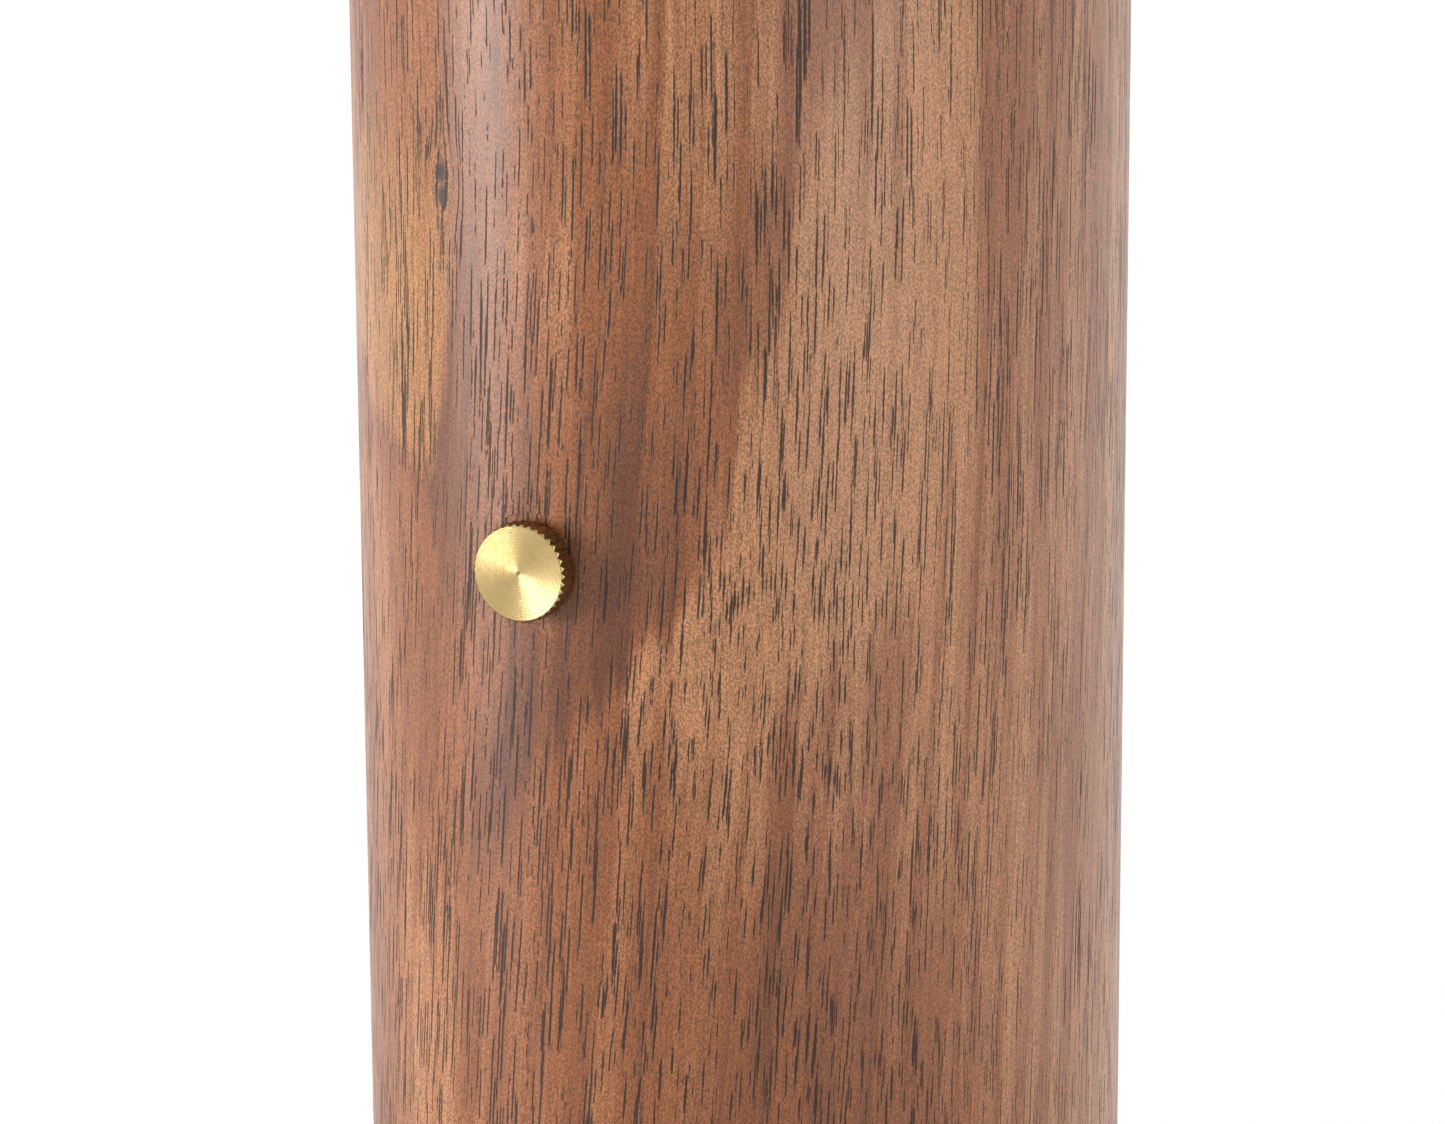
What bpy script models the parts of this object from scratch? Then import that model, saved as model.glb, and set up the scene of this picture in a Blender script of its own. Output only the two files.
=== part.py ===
"""Leather stitching pony: a walnut pillar that turns on a base, split at the top into two leather-lined jaws."""

import math

import bmesh
import bpy
import numpy as np
from mathutils import Matrix, Vector

MM = 0.001

# Driving dimensions of the oval pillar, in metres
OVAL_HALF_WIDTH = 38.5 * MM
OVAL_HALF_DEPTH = 54.0 * MM
SHOULDER_Z = 214.0 * MM
TOP_Z = 420.0 * MM
TIP_HALF_DEPTH = 16.0 * MM
JAW_TAPER_POWER = 1.6
OVAL_POWER = 2.0
TIP_POWER = 5.0

# Clearances
FIT = 0.3 * MM
CUT_PAST = 4.0 * MM

# Space between the jaws
MOUTH_HALF_GAP = 2.5 * MM
LIP_THICKNESS = 2.4 * MM
LAND_HALF_GAP = MOUTH_HALF_GAP + LIP_THICKNESS + FIT
THROAT_HALF_GAP = 12.0 * MM
THROAT_TOP_Z = 342.0 * MM
LAND_BOTTOM_Z = 376.0 * MM
LIP_BOTTOM_Z = 379.0 * MM
LIP_HALF_WIDTH = 36.5 * MM

# Base
BASE_LENGTH = 300.0 * MM
BASE_WIDTH = 170.0 * MM
BASE_THICKNESS = 24.0 * MM
BASE_CORNER = 28.0 * MM
BASE_CHAMFER = 4.0 * MM
PAD_THICKNESS = 2.5 * MM
PAD_INSET = 5.0 * MM
BOARD_BOTTOM_Z = PAD_THICKNESS + FIT
BOARD_TOP_Z = BOARD_BOTTOM_Z + BASE_THICKNESS

# Turning post and its bearings
POST_RADIUS = 12.5 * MM
POST_TOP_Z = 180.0 * MM
POST_CHAMFER = 1.5 * MM
FLANGE_RADIUS = 31.0 * MM
FLANGE_THICKNESS = 5.4 * MM
BUSH_WALL = 2.0 * MM
BUSH_LENGTH = 19.0 * MM
WASHER_RADIUS = 30.0 * MM
WASHER_THICKNESS = 1.3 * MM
PILLAR_BOTTOM_Z = BOARD_TOP_Z + FIT + WASHER_THICKNESS + FIT
PILLAR_FOOT_CHAMFER = 2.0 * MM
BORE_RADIUS = POST_RADIUS + FIT + BUSH_WALL + FIT
BORE_TOP_Z = POST_TOP_Z + 3.0 * MM
FLANGE_SCREWS = 4
FLANGE_SCREW_CIRCLE = 22.5 * MM
FLANGE_SCREW_RADIUS = 2.0 * MM
FLANGE_SCREW_HEAD = 4.0 * MM
FLANGE_SCREW_LENGTH = 20.0 * MM

# Locking thumbscrew in the narrow end of the oval
THUMB_Z = 150.0 * MM
THUMB_HEAD_RADIUS = 5.0 * MM
THUMB_HEAD_HEIGHT = 2.4 * MM
THUMB_TEETH = 38
THUMB_TOOTH_DEPTH = 0.28 * MM
THUMB_CHAMFER = 0.3 * MM
THUMB_SHANK_RADIUS = 2.0 * MM
INSERT_RADIUS = 3.5 * MM
INSERT_LENGTH = 14.0 * MM
INSERT_RECESS = 0.6 * MM
SHOE_RADIUS = 3.0 * MM
SHOE_LENGTH = 5.0 * MM
GROOVE_DEPTH = 1.3 * MM
GROOVE_HALF_WIDTH = 4.0 * MM

# Hinge of the moving jaw
PIN_COVER = 24.0 * MM
PIN_Y = PIN_COVER - OVAL_HALF_DEPTH
PIN_Z = 232.0 * MM
PIN_RADIUS = 4.0 * MM
JAW_BOTTOM_Z = SHOULDER_Z + 3.0 * MM
KNUCKLE_HALF_WIDTH = 12.0 * MM
KNUCKLE_RADIUS = 11.0 * MM
KNUCKLE_SHANK_RADIUS = 7.0 * MM
KNUCKLE_SHANK_LENGTH = 30.0 * MM
MORTISE_SWING = 2.5 * MM
CAP_RADIUS = 6.5 * MM
CAP_HEIGHT = 4.0 * MM
CAP_SEAT_X = 28.0 * MM
CAP_TEETH = 36
HINGE_BUSH_WALL = 1.2 * MM

# Clamping screw
CLAMP_Z = 318.0 * MM
CLAMP_RADIUS = 4.0 * MM
CLAMP_SEAT_Y = -37.5 * MM
CLAMP_SEAT_RADIUS = 15.0 * MM
CLAMP_SLACK = 0.7 * MM
CLAMP_JAW_HOLE = 6.5 * MM
CLAMP_OVERRUN = 3.0 * MM
CLAMP_WASHER_RADIUS = 13.0 * MM
CLAMP_WASHER_THICKNESS = 2.0 * MM
HUB_RADIUS = 9.0 * MM
HUB_HEIGHT = 7.0 * MM
KNOB_RADIUS = 16.0 * MM
KNOB_HEIGHT = 12.0 * MM
KNOB_TEETH = 60
KNOB_TOOTH_DEPTH = 0.5 * MM
KNOB_CHAMFER = 1.0 * MM
KNOB_SKIN = 3.0 * MM
NUT_Y = 27.0 * MM
NUT_RADIUS = 8.0 * MM
NUT_HALF_LENGTH = 33.0 * MM
CLAMP_END_Y = NUT_Y + NUT_RADIUS - FIT

# Opening spring round the clamping screw
POCKET_RADIUS = 10.5 * MM
POCKET_BOTTOM_Y = 17.0 * MM
CUP_RADIUS = 9.8 * MM
CUP_THICKNESS = 1.2 * MM
SPRING_WIRE_RADIUS = 0.8 * MM
SPRING_COIL_RADIUS = 7.6 * MM
SPRING_CURLS = 6
SPRING_POINTS_A_CURL = 10

# Facets
ROUND_SEGMENTS = 32
SMALL_SEGMENTS = 20
OVAL_SEGMENTS = 28
JAW_LEVELS = 9
CORNER_SEGMENTS = 7

# Colours as linear red, green and blue, then roughness and metallic
WALNUT = ((0.19, 0.085, 0.038), 0.5, 0.0)
WALNUT_DARK = ((0.15, 0.066, 0.03), 0.5, 0.0)
BRASS = ((0.68, 0.46, 0.16), 0.3, 1.0)
STEEL = ((0.55, 0.55, 0.55), 0.35, 1.0)
BRONZE = ((0.46, 0.27, 0.1), 0.4, 1.0)
LEATHER = ((0.42, 0.22, 0.09), 0.75, 0.0)


def clear_scene():
    """Remove every object that the scene starts with."""
    for obj in list(bpy.data.objects):
        bpy.data.objects.remove(obj, do_unlink=True)


def material(name, look):
    """One plain surface with its own colour, roughness and metallic value."""
    colour, roughness, metallic = look
    made = bpy.data.materials.new(name)
    made.use_nodes = True
    shader = made.node_tree.nodes["Principled BSDF"]
    shader.inputs["Base Color"].default_value = (*colour, 1.0)
    shader.inputs["Roughness"].default_value = roughness
    shader.inputs["Metallic"].default_value = metallic
    made.diffuse_color = (*colour, 1.0)
    return made


def solid(name, points, faces, pivot=(0.0, 0.0, 0.0), smooth=False):
    """An object from points in the part's frame, with its origin at the pivot."""
    pivot = Vector(pivot)
    mesh = bpy.data.meshes.new(name)
    mesh.from_pydata([Vector(p) - pivot for p in points], [], faces)
    shape = bmesh.new()
    shape.from_mesh(mesh)
    bmesh.ops.recalc_face_normals(shape, faces=shape.faces)
    shape.to_mesh(mesh)
    shape.free()
    if smooth:
        mesh.shade_smooth()
    obj = bpy.data.objects.new(name, mesh)
    obj.location = pivot
    bpy.context.scene.collection.objects.link(obj)
    return obj


def dress(obj, look):
    """Give a piece its own material."""
    obj.data.materials.append(material(obj.name, look))
    return obj


def loft(rings):
    """Points and faces of a closed skin through rings of equal count, with flat ends."""
    count = len(rings[0])
    points = [tuple(p) for ring in rings for p in ring]
    faces = []
    for level in range(len(rings) - 1):
        low = level * count
        for i in range(count):
            j = (i + 1) % count
            faces.append((low + i, low + j, low + count + j, low + count + i))
    faces.append(tuple(reversed(range(count))))
    last = (len(rings) - 1) * count
    faces.append(tuple(range(last, last + count)))
    return points, faces


def on_axis(points, axis, at):
    """Carry points turned about +Z to the axis letter given, then to the place given."""
    turns = {
        "Z": Matrix.Identity(3),
        "Y": Matrix.Rotation(math.radians(-90.0), 3, "X"),
        "X": Matrix.Rotation(math.radians(90.0), 3, "Y"),
    }
    return [tuple(turns[axis] @ Vector(p) + Vector(at)) for p in points]


def circle(radius, height, segments):
    """A ring of points at one height."""
    turn = np.arange(segments) * (2.0 * math.pi / segments)
    return np.stack([radius * np.cos(turn), radius * np.sin(turn), np.full(segments, height)], axis=1)


def toothed(radius, depth, height, teeth):
    """A ring of points that steps between the tooth tips and the valleys."""
    ring = circle(1.0, height, 2 * teeth)
    reach = np.where(np.arange(2 * teeth) % 2 == 0, radius, radius - depth)
    ring[:, :2] *= reach[:, None]
    return ring


def turned(name, profile, axis, at, look, pivot=None, segments=ROUND_SEGMENTS):
    """A solid of revolution from (radius, height) steps, in order from one end to the other."""
    points, faces = loft([circle(r, h, segments) for r, h in profile])
    place = on_axis(points, axis, at)
    return dress(solid(name, place, faces, at if pivot is None else pivot, smooth=True), look)


def tube(name, inner, outer, low, high, axis, at, look, pivot=None, segments=ROUND_SEGMENTS):
    """A plain sleeve or washer: a square loop carried round the axis."""
    loop = [(inner, low), (outer, low), (outer, high), (inner, high)]
    rings = [circle(r, h, segments) for r, h in loop]
    points = [tuple(p) for ring in rings for p in ring]
    faces = []
    for level in range(len(loop)):
        here = level * segments
        there = ((level + 1) % len(loop)) * segments
        for i in range(segments):
            j = (i + 1) % segments
            faces.append((here + i, here + j, there + j, there + i))
    place = on_axis(points, axis, at)
    return dress(solid(name, place, faces, at if pivot is None else pivot, smooth=True), look)


def helper(obj):
    """Keep a cutter out of the finished object."""
    obj.hide_render = True
    obj.display_type = "WIRE"
    return obj


def drill(name, radius, low, high, axis, at, segments=ROUND_SEGMENTS):
    """A round cutter along an axis."""
    points, faces = loft([circle(radius, low, segments), circle(radius, high, segments)])
    return helper(solid(name, on_axis(points, axis, at), faces))


def block(name, low, high):
    """A box between two corners, used as a cutter."""
    corners = [(x, y, z) for z in (low[2], high[2]) for x, y in
               ((low[0], low[1]), (high[0], low[1]), (high[0], high[1]), (low[0], high[1]))]
    points, faces = loft([corners[:4], corners[4:]])
    return helper(solid(name, points, faces))


def cut(obj, cutter):
    """Take a cutter's shape out of a piece."""
    step = obj.modifiers.new(cutter.name, "BOOLEAN")
    step.operation = "DIFFERENCE"
    step.solver = "EXACT"
    step.object = cutter


# Shape of the pillar and the jaws
def rise(z):
    """How far a height lies between the shoulder (0) and the top (1)."""
    return min(max((z - SHOULDER_Z) / (TOP_Z - SHOULDER_Z), 0.0), 1.0)


def half_depth(z):
    """Outer half depth of the oval: constant in the pillar, drawn in towards the tip of the jaws."""
    return OVAL_HALF_DEPTH - (OVAL_HALF_DEPTH - TIP_HALF_DEPTH) * rise(z) ** JAW_TAPER_POWER


def half_gap(z):
    """Distance of a jaw's inner face from the middle plane."""
    if z <= THROAT_TOP_Z:
        return THROAT_HALF_GAP
    share = min((z - THROAT_TOP_Z) / (LAND_BOTTOM_Z - THROAT_TOP_Z), 1.0)
    return THROAT_HALF_GAP + (LAND_HALF_GAP - THROAT_HALF_GAP) * share


def oval_point(angle, z, side):
    """A point of the outline at an angle from the jaw's middle, on the side +1 (rear) or -1 (front)."""
    power = 2.0 / (OVAL_POWER + (TIP_POWER - OVAL_POWER) * rise(z))
    x = OVAL_HALF_WIDTH * math.copysign(abs(math.sin(angle)) ** power, math.sin(angle))
    y = half_depth(z) * math.copysign(abs(math.cos(angle)) ** power, math.cos(angle))
    return (x, side * y, z)


def split_angle(z):
    """The angle at which the outline meets the jaw's inner face."""
    power = OVAL_POWER + (TIP_POWER - OVAL_POWER) * rise(z)
    return math.acos((half_gap(z) / half_depth(z)) ** (power / 2.0))


def jaw_arc(z, side):
    """The outer arc of a jaw at one height, from one arris to the other."""
    limit = split_angle(z)
    return [oval_point(a, z, side) for a in np.linspace(-limit, limit, OVAL_SEGMENTS + 1)]


def front_arc_full(z):
    """The rest of the full oval, between the arrises of the rear jaw's arc."""
    limit = split_angle(SHOULDER_Z)
    angles = np.linspace(limit, 2.0 * math.pi - limit, OVAL_SEGMENTS + 1)[1:-1]
    return [oval_point(a, z, 1.0) for a in angles]


def inner_line(z):
    """Points across the rear jaw's inner face, from arris to arris."""
    first = oval_point(split_angle(z), z, 1.0)
    share = np.linspace(1.0, -1.0, OVAL_SEGMENTS + 1)[1:-1]
    return [(first[0] * s, first[1], z) for s in share]


def shrunk(ring, by):
    """A ring drawn in towards the vertical axis, for a chamfered foot."""
    keep = (1.0 - by / OVAL_HALF_WIDTH, 1.0 - by / OVAL_HALF_DEPTH)
    return [(x * keep[0], y * keep[1], z) for x, y, z in ring]


def jaw_heights(low):
    """Heights of the rings of a jaw, with a ring at each bend of the inner face."""
    lower = np.linspace(low, THROAT_TOP_Z, JAW_LEVELS - 3)
    return [*lower, LAND_BOTTOM_Z, (LAND_BOTTOM_Z + TOP_Z) / 2.0, TOP_Z]


def pillar_ring(z):
    """The whole oval at one height."""
    return [(x, y, z) for x, y, _ in jaw_arc(SHOULDER_Z, 1.0) + front_arc_full(SHOULDER_Z)]


def pillar():
    """Pillar and rear jaw in one piece, with its bores."""
    foot = shrunk(pillar_ring(PILLAR_BOTTOM_Z), PILLAR_FOOT_CHAMFER)
    rings = [foot, pillar_ring(PILLAR_BOTTOM_Z + PILLAR_FOOT_CHAMFER), pillar_ring(SHOULDER_Z)]
    rings += [jaw_arc(z, 1.0) + inner_line(z) for z in jaw_heights(SHOULDER_Z)]
    points, faces = loft(rings)
    made = dress(solid("pillar", points, faces), WALNUT)
    wall = -OVAL_HALF_DEPTH
    shank_low = SHOULDER_Z - KNUCKLE_SHANK_LENGTH - FIT
    cuts = (
        drill("post_bore", BORE_RADIUS, PILLAR_BOTTOM_Z - CUT_PAST, BORE_TOP_Z, "Z", (0, 0, 0)),
        drill("insert_bore", INSERT_RADIUS + FIT, wall - CUT_PAST,
              wall + INSERT_RECESS + INSERT_LENGTH + FIT, "Y", (0, 0, THUMB_Z), SMALL_SEGMENTS),
        drill("shoe_bore", SHOE_RADIUS + FIT, wall, 0.0, "Y", (0, 0, THUMB_Z), SMALL_SEGMENTS),
        drill("knuckle_bore", KNUCKLE_SHANK_RADIUS + FIT, shank_low, SHOULDER_Z + CUT_PAST,
              "Z", (0, PIN_Y, 0), SMALL_SEGMENTS),
        drill("clamp_bore", CLAMP_RADIUS + FIT + FIT, 0.0, CLAMP_END_Y + CLAMP_OVERRUN,
              "Y", (0, 0, CLAMP_Z), SMALL_SEGMENTS),
        drill("rear_pocket", POCKET_RADIUS, 0.0, POCKET_BOTTOM_Y, "Y", (0, 0, CLAMP_Z)),
        drill("nut_bore", NUT_RADIUS + FIT, -2.0 * OVAL_HALF_WIDTH, 2.0 * OVAL_HALF_WIDTH,
              "X", (0, NUT_Y, CLAMP_Z)),
    )
    for cutter in cuts:
        cut(made, cutter)


def front_jaw():
    """The moving jaw, hollowed for the knuckle, the hinge pin and the clamping screw."""
    pin = (0.0, PIN_Y, PIN_Z)
    points, faces = loft([jaw_arc(z, -1.0) for z in jaw_heights(JAW_BOTTOM_Z)])
    made = dress(solid("front_jaw", points, faces, pin), WALNUT_DARK)
    swing = KNUCKLE_RADIUS + MORTISE_SWING
    side = KNUCKLE_HALF_WIDTH + FIT
    far = 2.0 * OVAL_HALF_WIDTH
    cuts = [
        block("mortise", (-side, PIN_Y - swing, SHOULDER_Z - CUT_PAST), (side, CUT_PAST, PIN_Z + swing)),
        drill("bush_bore", PIN_RADIUS + FIT + HINGE_BUSH_WALL + FIT, -far, far, "X", pin, SMALL_SEGMENTS),
        drill("jaw_hole", CLAMP_JAW_HOLE, -OVAL_HALF_DEPTH, 0.0, "Y", (0, 0, CLAMP_Z), SMALL_SEGMENTS),
        drill("front_pocket", POCKET_RADIUS, -POCKET_BOTTOM_Y, 0.0, "Y", (0, 0, CLAMP_Z)),
        drill("washer_seat", CLAMP_SEAT_RADIUS, -2.0 * OVAL_HALF_DEPTH, CLAMP_SEAT_Y, "Y", (0, 0, CLAMP_Z)),
        drill("left_cap_seat", CAP_RADIUS + FIT, -far, -CAP_SEAT_X, "X", pin),
        drill("right_cap_seat", CAP_RADIUS + FIT, CAP_SEAT_X, far, "X", pin),
    ]
    for cutter in cuts:
        cut(made, cutter)


def rounded_plate(length, width, corner, z):
    """The outline of a board with round corners at one height."""
    ring = []
    for quarter in range(4):
        turn = quarter * math.pi / 2.0
        sx = 1.0 if quarter in (0, 3) else -1.0
        sy = 1.0 if quarter in (0, 1) else -1.0
        middle = (sx * (length / 2.0 - corner), sy * (width / 2.0 - corner))
        for angle in np.linspace(turn, turn + math.pi / 2.0, CORNER_SEGMENTS + 1):
            ring.append((middle[0] + corner * math.cos(angle), middle[1] + corner * math.sin(angle), z))
    return ring


def screw_places():
    """Where the flange screws stand, on a circle round the post."""
    turns = [(i + 0.5) * 2.0 * math.pi / FLANGE_SCREWS for i in range(FLANGE_SCREWS)]
    return [(FLANGE_SCREW_CIRCLE * math.cos(t), FLANGE_SCREW_CIRCLE * math.sin(t), BOARD_TOP_Z) for t in turns]


def base():
    """The walnut board with its recess, and the leather sheet under it."""
    def outline(inset, z):
        return rounded_plate(BASE_LENGTH - 2 * inset, BASE_WIDTH - 2 * inset, BASE_CORNER - inset, z)
    rings = [
        outline(BASE_CHAMFER, BOARD_BOTTOM_Z),
        outline(0.0, BOARD_BOTTOM_Z + BASE_CHAMFER),
        outline(0.0, BOARD_TOP_Z - BASE_CHAMFER),
        outline(BASE_CHAMFER, BOARD_TOP_Z),
    ]
    board = dress(solid("base_board", *loft(rings)), WALNUT)
    recess = BOARD_TOP_Z - FLANGE_THICKNESS - FIT - FIT
    cut(board, drill("flange_recess", FLANGE_RADIUS + FIT, recess, BOARD_TOP_Z + CUT_PAST, "Z", (0, 0, 0)))
    for number, place in enumerate(screw_places(), 1):
        cut(board, drill(f"screw_hole_{number}", FLANGE_SCREW_RADIUS + FIT, -FLANGE_SCREW_LENGTH - FIT,
                         CUT_PAST, "Z", place, SMALL_SEGMENTS))
    pad = [outline(PAD_INSET, 0.0), outline(PAD_INSET, PAD_THICKNESS)]
    dress(solid("base_pad", *loft(pad)), LEATHER)


def pivot():
    """The turning post with its flange, screws, thrust washer and two bushes."""
    bottom = BOARD_TOP_Z - FIT - FLANGE_THICKNESS
    top = BOARD_TOP_Z - FIT
    waist = POST_RADIUS - GROOVE_DEPTH
    profile = [
        (FLANGE_RADIUS, bottom),
        (FLANGE_RADIUS, top),
        (POST_RADIUS, top),
        (POST_RADIUS, THUMB_Z - GROOVE_HALF_WIDTH - GROOVE_DEPTH),
        (waist, THUMB_Z - GROOVE_HALF_WIDTH),
        (waist, THUMB_Z + GROOVE_HALF_WIDTH),
        (POST_RADIUS, THUMB_Z + GROOVE_HALF_WIDTH + GROOVE_DEPTH),
        (POST_RADIUS, POST_TOP_Z - POST_CHAMFER),
        (POST_RADIUS - POST_CHAMFER, POST_TOP_Z),
    ]
    post = turned("pivot_post", profile, "Z", (0, 0, 0), STEEL)
    head_depth = FLANGE_SCREW_HEAD - FLANGE_SCREW_RADIUS
    for number, place in enumerate(screw_places(), 1):
        sink = [
            (FLANGE_SCREW_RADIUS + FIT, -2.0 * FLANGE_THICKNESS),
            (FLANGE_SCREW_RADIUS + FIT, -FIT - FIT - head_depth),
            (FLANGE_SCREW_HEAD + FIT, -FIT - FIT),
            (FLANGE_SCREW_HEAD + FIT, CUT_PAST),
        ]
        points, faces = loft([circle(r, h, SMALL_SEGMENTS) for r, h in sink])
        cut(post, helper(solid(f"flange_sink_{number}", on_axis(points, "Z", place), faces)))
        screw = [
            (FLANGE_SCREW_RADIUS, -FLANGE_SCREW_LENGTH),
            (FLANGE_SCREW_RADIUS, -FIT - FIT - head_depth),
            (FLANGE_SCREW_HEAD, -FIT - FIT),
        ]
        turned(f"flange_screw_{number}", screw, "Z", place, BRASS, segments=SMALL_SEGMENTS)
    low = BOARD_TOP_Z + FIT
    tube("thrust_washer", POST_RADIUS + FIT, WASHER_RADIUS, low, low + WASHER_THICKNESS, "Z", (0, 0, 0), BRONZE)
    inner = POST_RADIUS + FIT
    lows = {"lower_bush": PILLAR_BOTTOM_Z + FIT, "upper_bush": BORE_TOP_Z - FIT - BUSH_LENGTH}
    for name, z in lows.items():
        tube(name, inner, inner + BUSH_WALL, z, z + BUSH_LENGTH, "Z", (0, 0, 0), BRONZE)


def knurled(name, head, shank, axis, at, look):
    """A straight-knurled head on a plain shank: head is (radius, tooth depth, chamfer, low, high, teeth)."""
    radius, depth, chamfer, low, high, teeth = head
    rings = [circle(r, h, 2 * teeth) for r, h in shank]
    face = radius - depth - chamfer
    rings += [
        circle(face, low, 2 * teeth),
        toothed(radius, depth, low + chamfer, teeth),
        toothed(radius, depth, high - chamfer, teeth),
        circle(face, high, 2 * teeth),
    ]
    points, faces = loft(rings)
    return dress(solid(name, on_axis(points, axis, at), faces, at), look)


def thumbscrew():
    """The small locking screw, its threaded insert and the shoe that bears on the post."""
    axis_at = (0.0, 0.0, THUMB_Z)
    under = OVAL_HALF_DEPTH + FIT
    shoe_tip = POST_RADIUS - GROOVE_DEPTH + FIT
    shank_end = shoe_tip + SHOE_LENGTH + FIT
    head = (THUMB_HEAD_RADIUS, THUMB_TOOTH_DEPTH, THUMB_CHAMFER, under, under + THUMB_HEAD_HEIGHT, THUMB_TEETH)
    shank = [(THUMB_SHANK_RADIUS, shank_end), (THUMB_SHANK_RADIUS, under)]
    screw = knurled("thumbscrew", head, shank, "Y", axis_at, BRASS)
    screw.data.transform(Matrix.Rotation(math.pi, 4, "Z"))
    turned("thumbscrew_shoe", [(SHOE_RADIUS, -shoe_tip - SHOE_LENGTH), (SHOE_RADIUS, -shoe_tip)],
           "Y", axis_at, BRONZE, segments=SMALL_SEGMENTS)
    outer = OVAL_HALF_DEPTH - INSERT_RECESS
    tube("thumbscrew_insert", THUMB_SHANK_RADIUS + FIT, INSERT_RADIUS, -outer, -outer + INSERT_LENGTH,
         "Y", axis_at, BRASS, segments=SMALL_SEGMENTS)


def hinge():
    """The knuckle let into the pillar, the pin through the jaw, its caps and its bushes."""
    pin = (0.0, PIN_Y, PIN_Z)
    low = SHOULDER_Z + FIT
    arch = [(PIN_Y + KNUCKLE_RADIUS * math.cos(a), PIN_Z + KNUCKLE_RADIUS * math.sin(a))
            for a in np.linspace(0.0, math.pi, ROUND_SEGMENTS // 2 + 1)]
    outline = [*arch, (PIN_Y - KNUCKLE_RADIUS, low), (PIN_Y + KNUCKLE_RADIUS, low)]
    sides = [[(x, y, z) for y, z in outline] for x in (-KNUCKLE_HALF_WIDTH, KNUCKLE_HALF_WIDTH)]
    knuckle = dress(solid("hinge_knuckle", *loft(sides)), BRASS)
    points, faces = loft([circle(KNUCKLE_SHANK_RADIUS, h, SMALL_SEGMENTS)
                          for h in (SHOULDER_Z - KNUCKLE_SHANK_LENGTH, PIN_Z - PIN_RADIUS - FIT)])
    shank = helper(solid("knuckle_shank", on_axis(points, "Z", (0, PIN_Y, 0)), faces))
    join = knuckle.modifiers.new("shank", "BOOLEAN")
    join.operation = "UNION"
    join.solver = "EXACT"
    join.object = shank
    wide = KNUCKLE_HALF_WIDTH + CUT_PAST
    cut(knuckle, drill("knuckle_pin_bore", PIN_RADIUS + FIT, -wide, wide, "X", pin, SMALL_SEGMENTS))
    reach = CAP_SEAT_X + CAP_HEIGHT / 2.0
    turned("hinge_pin", [(PIN_RADIUS, -reach), (PIN_RADIUS, reach)], "X", pin, STEEL, segments=SMALL_SEGMENTS)
    bush_inner = PIN_RADIUS + FIT
    ends = (KNUCKLE_HALF_WIDTH + FIT + FIT, CAP_SEAT_X)
    for side, name in ((-1.0, "left"), (1.0, "right")):
        low, high = sorted(side * e for e in ends)
        tube(f"hinge_bush_{name}", bush_inner, bush_inner + HINGE_BUSH_WALL, low, high, "X", pin, BRONZE,
             segments=SMALL_SEGMENTS)
        pin_cap(f"pin_cap_{name}", side, pin)


def pin_cap(name, side, pin):
    """A knurled cap with a blind hole that goes over one end of the hinge pin."""
    low = CAP_SEAT_X + FIT
    high = low + CAP_HEIGHT
    face = CAP_RADIUS - THUMB_TOOTH_DEPTH - THUMB_CHAMFER
    rings = [
        circle(face, low, 2 * CAP_TEETH),
        toothed(CAP_RADIUS, THUMB_TOOTH_DEPTH, low + THUMB_CHAMFER, CAP_TEETH),
        toothed(CAP_RADIUS, THUMB_TOOTH_DEPTH, high - THUMB_CHAMFER, CAP_TEETH),
        circle(face, high, 2 * CAP_TEETH),
    ]
    rings = [ring * (1.0, 1.0, side) for ring in rings]
    points, faces = loft(rings)
    cap = dress(solid(name, on_axis(points, "X", pin), faces, pin), BRASS)
    ends = sorted((0.0, side * (CAP_SEAT_X + CAP_HEIGHT / 2.0 + FIT)))
    cut(cap, drill(f"{name}_hole", PIN_RADIUS + FIT, *ends, "X", pin, SMALL_SEGMENTS))


def clamp():
    """The clamping screw with its knob, washer and the cross nut in the rear jaw."""
    axis_at = (0.0, 0.0, CLAMP_Z)
    washer_high = CLAMP_SEAT_Y - CLAMP_SLACK
    washer_low = washer_high - CLAMP_WASHER_THICKNESS
    tube("clamp_washer", CLAMP_RADIUS + FIT, CLAMP_WASHER_RADIUS, washer_low, washer_high, "Y", axis_at, BRASS)
    hub = -washer_low + FIT
    head_low = hub + HUB_HEIGHT
    head = (KNOB_RADIUS, KNOB_TOOTH_DEPTH, KNOB_CHAMFER, head_low, head_low + KNOB_HEIGHT, KNOB_TEETH)
    knob = knurled("clamp_knob", head, [(HUB_RADIUS, hub), (HUB_RADIUS, head_low)], "Y", axis_at, BRASS)
    knob.data.transform(Matrix.Rotation(math.pi, 4, "Z"))
    socket = -(head_low + KNOB_HEIGHT - KNOB_SKIN)
    cut(knob, drill("knob_socket", CLAMP_RADIUS + FIT, socket, 0.0, "Y", axis_at, SMALL_SEGMENTS))
    turned("clamp_screw", [(CLAMP_RADIUS, socket + FIT), (CLAMP_RADIUS, CLAMP_END_Y)], "Y", axis_at, STEEL,
           segments=SMALL_SEGMENTS)
    nut = turned("barrel_nut", [(NUT_RADIUS, -NUT_HALF_LENGTH), (NUT_RADIUS, NUT_HALF_LENGTH)], "X",
                 (0.0, NUT_Y, CLAMP_Z), BRASS)
    cut(nut, drill("nut_thread", CLAMP_RADIUS + FIT, 0.0, 2.0 * NUT_Y, "Y", axis_at, SMALL_SEGMENTS))


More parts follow.
